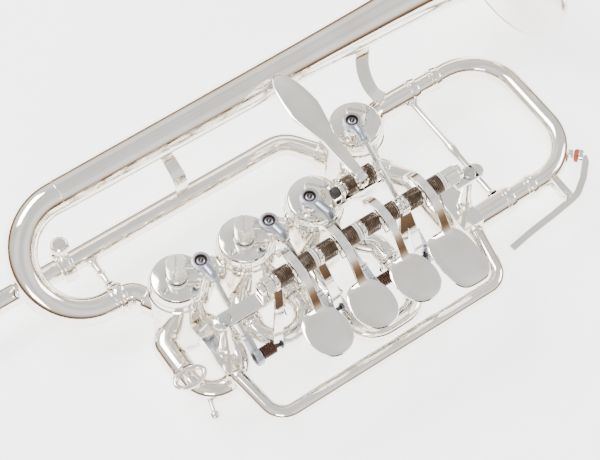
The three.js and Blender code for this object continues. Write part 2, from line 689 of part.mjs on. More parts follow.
function thumbKeyBody() {
  const hubFrom = thumb.from + fit;
  const hubTo = thumb.to - fit;
  const { z, neck, neckY, startY, endY } = thumbPaddle;
  const half = thumb.paddle / 2;
  const neckStrip = strip([
    thumbAt(thumb.x, -thumb.rod / 2, thumb.hub - fit), at(thumb.x, neckY - thumb.rod, z), at(thumb.x, neckY, z),
    at(thumb.x, average(neckY, startY), z),
  ], rectangle(neck, thumb.plate * thumbPaddle.neckShare), axisX);
  const outline = [[-neck / 2, neckY], [neck / 2, neckY], [half, startY]];
  for (let i = 0; i <= thumbPaddle.steps; i++) {
    const angle = (Math.PI * i) / thumbPaddle.steps;
    outline.push([half * Math.cos(angle), endY - half + half * Math.sin(angle)]);
  }
  outline.push([-half, startY]);
  const layer = (height, share) => outline.map(([x, y]) => at(thumb.x + x * share, y, z + height));
  const plate = loft([
    layer(-thumb.plate / 2, thumbPaddle.edgeShare), layer(0, 1), layer(thumb.plate / 2, thumbPaddle.edgeShare),
  ]);
  const body = join(
    disc(thumbAt(0), axisX, thumb.hub, hubFrom, hubTo, roundSides), neckStrip, plate,
    disc(thumbAt(0), axisX, thumb.collar, thumb.x - thumb.collar / 2, thumb.x + thumb.collar / 2, roundSides),
  );
  return cut(body, disc(thumbAt(0), axisX, thumb.rod + fit, hubFrom - overrun, hubTo + overrun, hubSides));
}

function thumbStandBody() {
  const { ear, plateDrop, plateThick, foot } = thumbStand;
  const high = thumb.z - plateDrop;
  const ears = [thumb.from - ear, thumb.to].map((x) => join(
    block(x, x + ear, thumb.y - ear, thumb.y + ear, high - plateThick, thumb.z),
    disc(thumbAt(0), axisX, ear, x, x + ear, roundSides),
  ));
  const footX = valves[2].x + thumbStand.footAside;
  return ears[0].add(ears[1]).add(join(
    block(footX - foot, thumb.to + ear, thumb.y - ear, thumb.y + ear, high - plateThick, high),
    disc(at(footX, thumb.y + ear, 0), axisZ, foot, fit, high - fit, roundSides),
    disc(thumbAt(0), axisX, thumb.rod, thumb.from - ear / 2, thumb.to + ear / 2, hubSides),
  ));
}

place('thumb_key', thumbKeyBody(), silver);
place('thumb_stand', thumbStandBody(), silver);

// Leadpipe, receiver and the shank that tunes the instrument
const portOut = port(valves[3], 0, casing.radius + 2 * fit);
const portFar = port(valves[3], 0, casing.radius + overrun);
const portHeading = portFar.clone().sub(portOut).normalize();
const leadpipeCorner = portOut.clone().addScaledVector(portHeading, (leadpipe.y - portOut.y) / portHeading.y);
place('leadpipe', pipe(route([
  at(leadpipe.from, leadpipe.y, tubing.level), leadpipeCorner, portOut,
], leadpipe.bend), tubing.outer, tubing.bore), silver);

const leadAxis = at(0, leadpipe.y, tubing.level);
const receiverTo = receiver.from + receiver.length;
const beforeReceiver = leadpipe.from - fit;
const receiverWaist = receiver.radius - receiver.step;
place('receiver', turned([
  [receiver.bore, receiver.from], [receiver.radius, receiver.from], [receiver.radius, receiver.from + receiver.collar],
  [receiverWaist, receiver.from + receiver.collar + receiver.step],
  [receiverWaist, receiverTo - receiver.collar], [receiver.radius, receiverTo - receiver.collar + receiver.step],
  [receiver.radius, receiverTo], [tubing.outer + fit, receiverTo], [tubing.outer + fit, beforeReceiver],
  [receiver.bore, beforeReceiver], [receiver.bore, receiver.from],
], roundSides, leadAxis, axisX), silver);
const shankFrom = receiver.from - shank.out;
place('shank', turned([
  [shank.bore, shankFrom], [shank.rim, shankFrom], [shank.rim, shankFrom + shank.rimLength],
  [shank.outer, shankFrom + shank.rimLength + receiver.step], [shank.outer, beforeReceiver - fit],
  [shank.bore, beforeReceiver - fit], [shank.bore, shankFrom],
], roundSides, leadAxis, axisX), silver);

// Bell with its flare, and the bow that leads back to the first valve
function bellRadius(x) {
  const share = (x - bell.tail) / (bell.rim - bell.tail);
  const cone = bell.tailRadius + (bell.throat - bell.tailRadius) * share;
  return cone + (bell.mouth - cone) * (flare.reach / (bell.rim - x + flare.reach)) ** flare.power;
}

function bellBody() {
  const length = bell.rim - bell.tail;
  const places = flare.shares.map((share) => bell.tail + length * share);
  const outside = places.map((x) => [bellRadius(x), x]);
  const bead = [
    [bell.mouth + bell.bead, bell.rim + bell.bead / 2], [bell.mouth + bell.bead / 2, bell.rim + bell.bead],
    [bell.mouth - bell.wall, bell.rim + bell.bead / 2],
  ];
  const inside = places.slice(0, -1).reverse().map((x) => [bellRadius(x) - bell.wall, x]);
  return turned([...outside, ...bead, ...inside, outside[0]], flare.sides, at(0, bell.y, bell.z), axisX);
}

function bowPoints() {
  const high = at(bow.x, bell.y, bell.z);
  const low = at(bow.x, bow.y, tubing.level);
  const centre = high.clone().lerp(low, 1 / 2);
  const up = high.clone().sub(centre);
  const out = at(-up.length(), 0, 0);
  return Array.from({ length: bow.steps + 1 }, (_, i) => {
    const angle = (Math.PI * i) / bow.steps;
    return centre.clone().addScaledVector(up, Math.cos(angle)).addScaledVector(out, Math.sin(angle));
  });
}

function bowBody() {
  const curve = bowPoints();
  const bowPort = port(valves[0], 0, casing.radius + 2 * fit);
  const heading = port(valves[0], 0, casing.radius + overrun).sub(bowPort).normalize();
  const corner = bowPort.clone().addScaledVector(heading, (bow.y - bowPort.y) / heading.y);
  const leg = route([at(bow.x, bow.y, tubing.level), corner, bowPort], bow.bend, elbowSteps).slice(1);
  const points = [at(bell.tail - fit, bell.y, bell.z), ...curve, ...leg];
  const outer = points.map((_, i) => {
    const share = Math.min(Math.max((i - 1) / bow.steps, 0), 1);
    return i > bow.steps + 1 ? tubing.outer : bell.tailRadius + (bow.thin - bell.tailRadius) * share;
  });
  return pipe(points, outer, outer.map((radius) => radius - bow.wall));
}

place('bell', bellBody(), silver);
place('bell_bow', bowBody(), silver);

// The oval ring beside the first slide's left leg and the knob on its bow
function slideGrips(leg, end) {
  const centre = leg.clone().add(at(grip.aside, grip.down, grip.up));
  const rings = circle(1, roundSides).map(([a, b]) => {
    const out = at(grip.long * a, grip.short * b, 0);
    const heading = out.clone().normalize();
    return circle(grip.wire, linkSides).map(([across, up]) => (
      centre.clone().add(out).addScaledVector(heading, across).addScaledVector(axisZ, up)
    ));
  });
  const shoulder = at(leg.x, centre.y + grip.short, centre.z);
  const foot = shoulder.clone().setZ(leg.z + tubing.slideInner - 2 * fit);
  const knobFoot = at(leg.x + grip.knobAside, end, leg.z);
  const knobEnd = knobFoot.clone().add(at(-grip.knobAside, -grip.knobLength, 0));
  return [
    loft(rings, true), rod([foot, shoulder], grip.wire, linkSides), rod([knobFoot, knobEnd], grip.wire, linkSides),
    new THREE.SphereGeometry(grip.knob, knob.sides, knob.rows).translate(knobEnd.x, knobEnd.y, knobEnd.z),
  ];
}

// Slides of the first three valves: two inner legs and a bow
valves.slice(0, 3).forEach((valve, k) => {
  const { left, right, tubeTo, end } = slides[k];
  const half = (right - left) / 2;
  const path = route([
    at(valve.x + left, tubeTo + slideOverlap, tubing.level), at(valve.x + left, end, tubing.level),
    at(valve.x + right, end, tubing.level), at(valve.x + right, tubeTo + slideOverlap, tubing.level),
  ], Math.min(half - fit, slideBend), bendSteps - 1);
  let body = solid(pipe(path, tubing.slideInner, tubing.slideBore));
  if (k === 0) body = body.add(join(...slideGrips(at(valve.x + left, tubeTo, tubing.level), end)));
  place(`slide_${k + 1}`, body, silver);
});

// Front loop on the fourth valve
const loopPort = port(valves[3], 1, casing.radius + socket.length + fit);
const loopBack = port(valves[3], 2, casing.radius + socket.length + fit);
const loopOut = port(valves[3], 1, (front.upperY - valves[3].y) / Math.sin(radians(valves[3].ports[1])));
const loopDown = port(valves[3], 2, (front.lowerX - valves[3].x) / Math.cos(radians(valves[3].ports[2])));
const upperLeg = route([loopPort, loopOut, at(front.legTo, front.upperY, tubing.level)], front.bend, elbowSteps);
const lowerLeg = route([
  loopBack, loopDown, at(front.lowerX, front.lowerY, tubing.level),
  at(front.legTo, front.lowerY, tubing.level),
], [front.elbow, front.bend], elbowSteps);
place('front_leg_upper', pipe(upperLeg, tubing.slideOuter, bored(tubing.slideInner)), silver);
place('front_leg_lower', pipe(lowerLeg, tubing.slideOuter, bored(tubing.slideInner)), silver);
const frontPath = route([
  at(front.legTo - front.overlap, front.upperY, tubing.level), at(frontEnd, front.upperY, tubing.level),
  at(frontEnd, front.lowerY, tubing.level), at(front.legTo - front.overlap, front.lowerY, tubing.level),
], front.corner);

// The water key turns in a saddle on the front slide and holds a cork against a nipple on its bend
const bendCentre = at(frontEnd - front.corner, front.lowerY + front.corner, tubing.level);
const nippleOut = at(Math.SQRT1_2, -Math.SQRT1_2, 0);
const nippleEnd = front.corner + tubing.slideInner + waterKey.thick;
const onNipple = (distance) => bendCentre.clone().addScaledVector(nippleOut, distance);

const keyPivot = at(bendCentre.x - waterKey.aside, front.lowerY - waterKey.out, tubing.level);

function frontSlideBody() {
  const half = waterKey.height / 2 + fit;
  const saddle = [-1, 1].map((sign) => {
    const near = tubing.level + sign * half;
    const far = near + sign * waterKey.thick;
    return block(
      keyPivot.x - waterKey.post, keyPivot.x + waterKey.post, keyPivot.y - waterKey.post, front.lowerY,
      Math.min(near, far), Math.max(near, far),
    );
  });
  return cut(join(
    rod(frontPath, tubing.slideInner), ...saddle, rod([onNipple(front.corner), onNipple(nippleEnd)], waterKey.nipple),
    disc(keyPivot, axisZ, waterKey.pin, -half - fit, half + fit),
  ), rod(overrunning(frontPath), tubing.slideBore));
}

function waterKeyBody() {
  const cup = nippleEnd + 2 * fit + waterKey.corkThick;
  const arm = [
    onNipple(cup + waterKey.armWidth / 2), ...waterKey.arm.map(([x, y]) => keyPivot.clone().add(at(x, y, 0))),
  ];
  return cut(join(
    disc(onNipple(0), nippleOut, waterKey.cork, cup, cup + waterKey.thick, hubSides),
    strip(arm, rectangle(waterKey.armHeight, waterKey.armWidth)),
    disc(keyPivot, axisZ, waterKey.hub, -waterKey.height / 2, waterKey.height / 2, hubSides),
  ), disc(keyPivot, axisZ, waterKey.pin + fit, -waterKey.height, waterKey.height));
}

place('front_slide', frontSlideBody(), silver);
place('water_key', waterKeyBody(), silver);
const corkFrom = nippleEnd + fit;
const corkBody = disc(onNipple(0), nippleOut, waterKey.cork, corkFrom, corkFrom + waterKey.corkThick, hubSides);
place('key_cork', corkBody, cork);

// Braces and straps between the tubes
const flat = Math.cos(Math.PI / tubing.sides);

function braceBody(from, to) {
  const length = from.distanceTo(to);
  const heading = to.clone().sub(from).normalize();
  return join(
    rod([from, to], brace.radius, 8),
    disc(from, heading, brace.foot, 0, brace.footThick, 10),
    disc(from, heading, brace.foot, length - brace.footThick, length, 10),
  );
}

function strapBody(points) {
  return strip(points, rectangle(strap.width, strap.thick), axisX);
}

const ferruleOuter = bored(bow.thin) + ring.thick;
const ferruleX = bow.x + ring.length * 1.5;
place('bow_ferrule', pipe([at(ferruleX - ring.length / 2, bow.y, tubing.level),
  at(ferruleX + ring.length / 2, bow.y, tubing.level)], ferruleOuter, bored(bow.thin)), satin);
place('receiver_brace', braceBody(
  at(ferruleX, bow.y + ferruleOuter * flat + fit, tubing.level),
  at(ferruleX, leadpipe.y - tubing.outer * flat - fit, tubing.level),
), silver);
place('front_brace', braceBody(
  at(brace.frontX, front.lowerY + tubing.slideOuter * flat + fit, tubing.level),
  at(brace.frontX, front.upperY - tubing.slideOuter * flat - fit, tubing.level),
), silver);

const strapTop = (x) => bell.z - bellRadius(x) - strap.thick / 2;
const leadTop = tubing.level + tubing.outer + fit;
const legTop = tubing.level + tubing.slideOuter + fit;
place('strap_bell', strapBody([
  at(33, bell.y - 3, strapTop(33) + 0.2), at(33, 58, -14), at(33, 52.6, -17.4), at(33, 50.4, -22.5),
  at(33, leadpipe.y, leadTop),
]), silver);
place('strap_front', strapBody([
  at(144, bell.y - 3, strapTop(144) - 0.4), at(138, 57, -17), at(135, 49, -19.8), at(135.6, 42.4, -23.6),
  at(139, front.upperY, legTop + strap.thick),
]), silver);

// Clamp with its thumbscrew on the leadpipe
const clampBore = bored(tubing.outer);
const clampOuter = clampBore + clamp.wall;
place('clamp_ring', pipe([at(clamp.x - clamp.width / 2, leadpipe.y, tubing.level),
  at(clamp.x + clamp.width / 2, leadpipe.y, tubing.level)], clampOuter, clampBore), silver);
place('clamp_screw', turned([
  [0, tubing.level + clampOuter * flat + fit], [clamp.stem * 1.6, tubing.level + clampOuter * flat + fit],
  [clamp.stem, tubing.level + clampOuter + 2], [clamp.stem, clamp.stemTo], [clamp.knob, clamp.stemTo + 0.8],
  [clamp.knob, clamp.knobTo - 0.8], [clamp.knob * 0.7, clamp.knobTo], [0, clamp.knobTo],
], 12, at(clamp.x, leadpipe.y, 0)), silver);

const thumbCentre = at(thumb.x, thumb.y, thumb.z);
const thumbGapHalf = thumb.collar / 2 + spring.wire + thumbSpring.gap;
const thumbSpringPath = springRoute(
  thumbCentre, spring.radius, thumbSpring.legs, thumbSpring.turns, thumbGapHalf, thumbSpring.reach, hairpinDrop,
  thumbSpring.pitch,
);
place('thumb_spring', springBody(thumbSpringPath), bronze);
place('thumb_bumper', disc(at(0, thumb.y, thumb.z), axisX, bumper.radius,
  thumb.from - 2.4 - fit - bumper.height, thumb.from - 2.4 - fit, 10), rubber);

// The origin lies under the middle of the whole instrument, level with its lowest point
const extent = new THREE.Box3().setFromObject(trumpet, true);
const middle = extent.getCenter(new THREE.Vector3());
trumpet.position.set(-middle.x, -middle.y, -extent.min.z);

export default trumpet;
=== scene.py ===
"""Dresses a small four-valve rotary trumpet in silver plate, steel, spring bronze and cork."""
import json
import math

import bmesh
import bpy
from bpy.props import FloatProperty, FloatVectorProperty, IntProperty, PointerProperty
from mathutils import Matrix, Quaternion, Vector


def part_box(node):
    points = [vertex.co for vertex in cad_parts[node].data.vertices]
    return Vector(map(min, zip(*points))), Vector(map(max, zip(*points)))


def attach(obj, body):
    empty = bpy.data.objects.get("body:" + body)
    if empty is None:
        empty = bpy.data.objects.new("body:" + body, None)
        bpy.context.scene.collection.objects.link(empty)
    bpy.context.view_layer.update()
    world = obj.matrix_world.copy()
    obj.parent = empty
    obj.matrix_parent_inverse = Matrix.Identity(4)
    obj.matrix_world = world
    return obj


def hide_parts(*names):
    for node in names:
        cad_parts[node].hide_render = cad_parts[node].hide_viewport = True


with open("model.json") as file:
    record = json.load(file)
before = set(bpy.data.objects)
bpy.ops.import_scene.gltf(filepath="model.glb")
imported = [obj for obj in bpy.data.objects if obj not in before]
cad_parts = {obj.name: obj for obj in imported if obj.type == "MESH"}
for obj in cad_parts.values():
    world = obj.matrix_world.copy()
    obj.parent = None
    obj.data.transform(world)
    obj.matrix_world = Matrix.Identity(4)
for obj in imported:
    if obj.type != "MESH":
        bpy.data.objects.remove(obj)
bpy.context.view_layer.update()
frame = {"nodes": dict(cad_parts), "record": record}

bl_info = {
    "name": "Rotary trumpet",
    "version": (1, 0, 0),
    "blender": (4, 5, 0),
    "location": "View3D > Sidebar > Trumpet",
    "description": "Builds the visible pieces, finishes and stage of a small rotary trumpet",
    "category": "Object",
}

MM = 0.001
CREASE = math.radians(34)
X = Vector((1, 0, 0))
Y = Vector((0, 1, 0))
Z = Vector((0, 0, 1))

# Places and sizes in millimetres, measured from the top face of the first valve's cap
VALVES = [(0, 0), (34.6, 0), (71, 0), (109, 22)]
# Directions of each casing's four ports, in degrees from the row of valves
PORTS = [(118, 28, -62, -152), (135, 45, -45, -135), (135, 45, -45, -135), (125, 35, -55, -145)]
LEVEL = -34
CASE_RADIUS, PORT_START, FERRULE_END = 13.4, 12.2, 17.9
SCREW_HEIGHT = 0.8
# Reach, direction and barrel top of each stop arm
STOP_ARMS = [(10.6, -34, 12.4), (10.6, -34, 12.4), (8.6, -138, 10.2), (8.6, -138, 10.2)]
# The keys' hinge line, the ends of its rod, where each hub starts and ends beside its key, how far each
# touchpiece stands from its key, and the key whose lower arm hangs from the hub's far end
HINGE_Y, HINGE_Z = -29.5, 9
HINGE = Vector((0, HINGE_Y, HINGE_Z))
ROD_FROM, ROD_TO = 24.8, 125.9
FIRST_KEY, KEY_PITCH = 40.6, 22.6
HUB_BEFORE, HUB_AFTER = 11.6, 10.7
TOUCH_SHIFTS = [-2.6, -2, -2, -3.4]
TURNED_KEY = 2
# Lower end of each link and of the lever's arm beside it, and how far each link runs to its bend
LOWER_BALL = [(11.5, 22), (49.8, 53.8), (73.4, 87), (102, 97.6)]
LOWER_Y, LOWER_Z = -43.7, -17
LINK_BENDS = [7.5, 7.5, 10.5, 7.5]
BAR_Y, BAR_LOW, BAR_TOP = -31, 3, 4.8
THUMB_X, THUMB_Y, THUMB_Z = 89.3, -8.5, 10
# Left and right tube, end of the casing's tubes and end of the slide of each valve's loop
SLIDES = [(-14.5, 9.5, -25, -41), (-11.5, 11.5, -21, -36), (-11.5, 21, -31, -57)]
LOOP_RADIUS, BORE_RADIUS, SLIDE_RADIUS = 6.2, 5.1, 5
BELL_Y, BELL_Z, BELL_TAIL, BELL_RIM = 67, -4, -21, 228
TAIL_RADIUS, CONE_RADIUS, MOUTH_RADIUS = 7.9, 9.4, 47.5
FLARE_LENGTH, FLARE_POWER = 14, 1.9
BEAD_RADIUS, BEAD_OUT = 0.8, 0.6
BOW_X, BOW_Y = -23.5, 22.7
LEAD_Y, LEAD_RADIUS, CLAMP_X = 51.2, 5.3, -30.5
FRONT_UPPER, FRONT_LOWER, FRONT_END, FRONT_LEG = 40, -34.5, 199, 158
FRONT_RADIUS, FRONT_BEND, FRONT_TURN_X = 6.0, 24, 125
FRONT_BRACE_X, LEAD_BRACE_X = 152, -18.7
WATER_X, WATER_Y = 180, -48

# Where the camera looks in millimetres, the way back to it and how far it stands
VIEW_TARGET = (56.51, -10.36, 0)
VIEW_BACK = (-0.2917, -0.4245, 0.8572)
VIEW_DISTANCE = 782.6

first_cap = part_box("cap_1")
HOME = Vector((
    (first_cap[0][0] + first_cap[1][0]) / 2,
    (first_cap[0][1] + first_cap[1][1]) / 2,
    first_cap[1][2] - SCREW_HEIGHT * MM,
))
BODY_OF = {
    node: body for body, nodes in frame["record"]["behaviour"]["bodies"].items() for node in nodes
}


def at(x, y, z):
    """A point in millimetres from the first valve's cap."""
    return Vector((x, y, z))


class TrumpetSizes(bpy.types.PropertyGroup):
    """Sizes of the visible detail."""

    tube_sides: IntProperty(name="Tube sides", description="Facets round a tube", default=40, min=12)
    turned_sides: IntProperty(name="Turned sides", description="Facets round a turned piece", default=56, min=16)
    bell_wall: FloatProperty(name="Bell wall", description="Thickness of the bell", default=0.0008, unit="LENGTH")
    edge: FloatProperty(name="Edge", description="Width of softened edges", default=0.0003, unit="LENGTH")
    wire: FloatProperty(name="Spring wire", description="Thickness of the wire", default=0.00066, unit="LENGTH")
    knurl_ribs: IntProperty(name="Knurl ribs", description="Ribs round a knurled sleeve", default=40, min=12)


def sizes():
    return bpy.context.scene.trumpet_sizes


def colour(name, description, default):
    return FloatVectorProperty(
        name=name, description=description, default=default, subtype="COLOR", size=4, min=0, max=1,
    )


class TrumpetFinish(bpy.types.PropertyGroup):
    """Colours and gloss of the finishes."""

    silver: colour("Silver", "Polished plate", (0.93, 0.9, 0.84, 1))
    tarnish: colour("Tarnish", "Warm tint in the plate", (0.84, 0.77, 0.68, 1))
    steel: colour("Steel", "Blue-grey joint shanks", (0.42, 0.46, 0.52, 1))
    dark_steel: colour("Dark steel", "Rings of the ball joints", (0.05, 0.05, 0.055, 1))
    bronze: colour("Spring wire", "Dark spring wire", (0.075, 0.052, 0.036, 1))
    rubber: colour("Rubber", "Bumpers and sleeves", (0.02, 0.018, 0.017, 1))
    cork: colour("Cork", "Stopper of the water key", (0.42, 0.085, 0.04, 1))
    spacer: colour("Spacer", "White rings between the hubs", (0.82, 0.80, 0.76, 1))
    gloss: FloatProperty(name="Roughness", description="Roughness of the plate", default=0.07, min=0, max=1)


class TrumpetStage(bpy.types.PropertyGroup):
    """Floor, light and camera."""

    floor: colour("Floor", "Colour of the floor", (0.97, 0.97, 0.97, 1))
    key_power: FloatProperty(name="Key light", description="Power of the main light", default=38, unit="POWER")
    fill_power: FloatProperty(name="Fill light", description="Power of the side lights", default=10, unit="POWER")
    sky: FloatProperty(name="Sky", description="Strength of the surrounding light", default=1.5, min=0)
    glow: FloatProperty(name="Floor glow", description="Light given off by the floor", default=2.4, min=0)
    lens: FloatProperty(name="Lens", description="Focal length in millimetres", default=108, min=1)


def feed(tree, socket, value):
    """Links an input to the output that is given for it, or sets its value."""
    if isinstance(value, bpy.types.NodeSocket):
        tree.links.new(value, socket)
    else:
        socket.default_value = value


def add_node(tree, kind, output, **inputs):
    """The named output of a new shader node. Its inputs are named with underscores for spaces."""
    made = tree.nodes.new(f"ShaderNode{kind}")
    for key, value in inputs.items():
        feed(tree, made.inputs[key.replace("_", " ")], value)
    return made.outputs[output]


def mix(tree, share, first, second, blend="MIX"):
    """A colour mixed from two."""
    made = tree.nodes.new("ShaderNodeMix")
    made.data_type = "RGBA"
    made.blend_type = blend
    for place, value in ((0, share), (6, first), (7, second)):
        feed(tree, made.inputs[place], value)
    return made.outputs[2]


def material(name, base, metallic, roughness, second=None, spread=0.06, grain=0.0, scratch=0.0, scale=55.0):
    """A finish with cloudy tone, uneven gloss, and grain or fine scratches in its surface."""
    made = bpy.data.materials.new(name)
    made.use_nodes = True
    tree = made.node_tree
    place = add_node(tree, "TexCoord", "Object")
    cloud = add_node(tree, "TexNoise", "Fac", Vector=place, Scale=scale, Detail=5)
    fine = add_node(tree, "TexNoise", "Fac", Vector=place, Scale=scale * 7, Detail=3)
    run = add_node(tree, "Mapping", "Vector", Vector=place, Scale=(120, 2600, 2600) if scratch else (900, 900, 900))
    relief = add_node(tree, "TexNoise", "Fac", Vector=run, Scale=1, Detail=2)
    share = add_node(tree, "MapRange", "Result", Value=cloud, From_Min=0.42, From_Max=0.78)
    least = max(roughness - spread, 0.02)
    for key, value in (
        ("Metallic", metallic),
        ("Base Color", mix(tree, share, base, second or [c * 0.82 for c in base[:3]] + [1])),
        ("Roughness", add_node(tree, "MapRange", "Result", Value=fine, To_Min=least, To_Max=roughness + spread)),
        ("Normal", add_node(tree, "Bump", "Normal", Height=relief, Strength=scratch or grain, Distance=0.0002)),
    ):
        feed(tree, tree.nodes["Principled BSDF"].inputs[key], value)
    return made


def finishes():
    """The object's finishes by name, made once."""
    look = bpy.context.scene.trumpet_finish
    if "Silver plate" not in bpy.data.materials:
        material("Silver plate", look.silver, 1, look.gloss, look.tarnish, 0.035, scratch=0.035)
        material("Satin silver", look.silver, 1, 0.27, look.tarnish, 0.07, scratch=0.12)
        material("Joint steel", look.steel, 1, 0.36, None, 0.1, grain=0.12, scale=160)
        material("Blackened steel", look.dark_steel, 0.9, 0.3, None, 0.1, grain=0.08, scale=200)
        material("Bright steel", (0.62, 0.62, 0.6, 1), 1, 0.22, None, 0.08, scratch=0.08, scale=160)
        material("Spring wire", look.bronze, 0.85, 0.36, (0.15, 0.11, 0.08, 1), 0.12, grain=0.1, scale=300)
        copper = (0.075, 0.036, 0.026, 1), (0.05, 0.028, 0.022, 1)
        material("Copper liner", copper[0], 0.8, 0.38, copper[1], 0.1, grain=0.1, scale=300)
        material("Bumper rubber", look.rubber, 0, 0.62, None, 0.14, grain=0.25, scale=220)
        material("Stopper cork", look.cork, 0, 0.8, (0.24, 0.04, 0.02, 1), 0.15, grain=0.8, scale=420)
        material("Spacer ring", look.spacer, 0, 0.42, (0.7, 0.66, 0.6, 1), 0.1, grain=0.1, scale=260)
    return bpy.data.materials


def frames_along(points, side):
    """A place and a turned pair of axes at every point of a route, carried without twist."""
    across = side.copy()
    made = []
    for i, point in enumerate(points):
        into = (point - points[max(i - 1, 0)]).normalized()
        out = (points[min(i + 1, len(points) - 1)] - point).normalized()
        along = (into + out).normalized()
        across = (across - along * across.dot(along)).normalized()
        up = along.cross(across)
        turn = Matrix((across, up, along)).transposed().to_4x4()
        made.append(Matrix.Translation(HOME + point * MM) @ turn)
    return made


def first_side(points):
    return X if abs((points[1] - points[0]).normalized().z) > 0.9 else Z


def edges_round(verts):
    """The edges of a loop's points, each once and in the same order every time."""
    return list(dict.fromkeys(edge for vert in verts for edge in vert.link_edges))


def sweep(bm, points, widths, thicks=None, sides=None, side=None, caps=True):
    """Extrudes a round section, or a four-sided one where thicks are given, along a route."""
    sides = sides or sizes().tube_sides
    flat = thicks is not None
    thicks = thicks if flat else widths
    widths = widths if isinstance(widths, (list, tuple)) else [widths] * len(points)
    thicks = thicks if isinstance(thicks, (list, tuple)) else [thicks] * len(points)
    size = math.sqrt(0.5) if flat else 1
    places = [
        place @ Matrix.Diagonal((width * MM, thick * MM, MM, 1))
        for place, width, thick in zip(frames_along(points, side or first_side(points)), widths, thicks)
    ]
    corner = Matrix.Rotation(math.pi / 4 if flat else 0, 4, "Z")
    start = bmesh.ops.create_circle(bm, segments=4 if flat else sides, radius=size, matrix=places[0] @ corner)
    loop = start["verts"]
    edges = edges_round(loop)
    first = edges
    for before, place in zip(places, places[1:]):
        grown = bmesh.ops.extrude_edge_only(bm, edges=edges)["geom"]
        verts = [g for g in grown if isinstance(g, bmesh.types.BMVert)]
        fresh = set(verts)
        bmesh.ops.transform(bm, matrix=place @ before.inverted(), verts=verts)
        edges = [g for g in grown if isinstance(g, bmesh.types.BMEdge) and set(g.verts) <= fresh]
    if caps:
        bmesh.ops.edgeloop_fill(bm, edges=first)
        bmesh.ops.edgeloop_fill(bm, edges=edges)


def turn(bm, profile, origin, axis=Z, sides=None):
    """Spins a profile of radii and heights round an axis."""
    sides = sides or sizes().turned_sides
    turned_to = Z.rotation_difference(axis)
    verts = [
        bm.verts.new(HOME + (origin + turned_to @ Vector((radius, 0, height))) * MM) for radius, height in profile
    ]
    edges = [bm.edges.new(pair) for pair in zip(verts, verts[1:])]
    bmesh.ops.spin(
        bm, geom=verts + edges, cent=HOME + origin * MM, axis=axis, angle=2 * math.pi, steps=sides,
        use_merge=True, use_duplicate=False,
    )


def ball(bm, centre, radius, stretch=(1, 1, 1)):
    """A round knob."""
    place = Matrix.Translation(HOME + centre * MM) @ Matrix.Diagonal((*[s * MM for s in stretch], 1))
    bmesh.ops.create_uvsphere(bm, u_segments=28, v_segments=16, radius=radius, matrix=place)


def block(bm, low, high):
    """A straight-sided piece between two corners."""
    size = high - low
    place = Matrix.Translation(HOME + (low + high) / 2 * MM) @ Matrix.Diagonal((*(size * MM), 1))
    bmesh.ops.create_cube(bm, size=1, matrix=place)


def rims(radius, start, end, edge):
    """The outside of a turned piece with softened rims."""
    soft = edge * 0.3
    return [
        (radius - edge, start), (radius - soft, start + soft), (radius, start + edge),
        (radius, end - edge), (radius - soft, end - soft), (radius - edge, end),
    ]


def disc(bm, origin, axis, radius, start, end, edge=0.3, sides=None):
    """A turned disc or pin."""
    edge = min(edge, radius * 0.4, abs(end - start) * 0.4)
    turn(bm, [(0, start), *rims(radius, start, end, edge), (0, end)], origin, axis, sides)


def ring(bm, origin, axis, inner, outer, start, end, edge=0.25, sides=None):
    """A turned ring."""
    edge = min(edge, (outer - inner) * 0.4, (end - start) * 0.4)
    turn(bm, [(inner, start), *rims(outer, start, end, edge), (inner, end), (inner, start)], origin, axis, sides)


def route(corners, radius, steps=10):
    """Straight runs through corners with rounded bends."""
    path = [corners[0]]
    for i in range(1, len(corners) - 1):
        back = (corners[i - 1] - corners[i]).normalized()
        on = (corners[i + 1] - corners[i]).normalized()
        half = back.angle(on) / 2
        bend = radius[i - 1] if isinstance(radius, (list, tuple)) else radius
        centre = corners[i] + (back + on).normalized() * (bend / math.sin(half))
        reach = bend / math.tan(half)
        start = corners[i] + back * reach - centre
        end = corners[i] + on * reach - centre
        axis = start.cross(end).normalized()
        for step in range(steps + 1):
            path.append(Quaternion(axis, (math.pi - 2 * half) * step / steps) @ start + centre)
    path.append(corners[-1])
    return path


def add_object(name, data):
    made = bpy.data.objects.new(name, data)
    bpy.context.scene.collection.objects.link(made)
    return made


def finish_piece(bm, name, finish, node, replaced=(), slot="silver", bevel=0.0, subdivide=0):
    """Closes the mesh, smooths it up to its edges, gives it its finish and lets it ride with its node's body."""
    bmesh.ops.remove_doubles(bm, verts=bm.verts, dist=0.000001)
    bmesh.ops.dissolve_degenerate(bm, edges=bm.edges, dist=0.0000005)
    bmesh.ops.recalc_face_normals(bm, faces=bm.faces)
    for face in bm.faces:
        face.smooth = True
    for edge in bm.edges:
        edge.smooth = len(edge.link_faces) == 2 and edge.calc_face_angle(0) < CREASE
    mesh = bpy.data.meshes.new(name)
    bm.to_mesh(mesh)
    bm.free()
    piece = add_object(name, mesh)
    mesh.materials.append(finishes()[finish])
    if bevel:
        soften = piece.modifiers.new("Softened edges", "BEVEL")
        soften.width = bevel
        soften.segments = 3
        soften.limit_method = "ANGLE"
        soften.angle_limit = CREASE
        soften.harden_normals = False
    if subdivide:
        smooth = piece.modifiers.new("Smooth form", "SUBSURF")
        smooth.levels = subdivide
        smooth.render_levels = subdivide
    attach(piece, BODY_OF[node])
    if replaced:
        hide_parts(*replaced)
    return piece


def plated(bm, name, node, **options):
    """A silver piece that takes the place of its node."""
    return finish_piece(bm, name, "Silver plate", node, [node], **options)


def valve_spot(k, z=0.0):
    return at(VALVES[k][0], VALVES[k][1], z)


def port(k, index, distance):
    """A point on the axis of one of a valve's four ports."""
    angle = math.radians(PORTS[k][index])
    return valve_spot(k, LEVEL) + at(math.cos(angle), math.sin(angle), 0) * distance


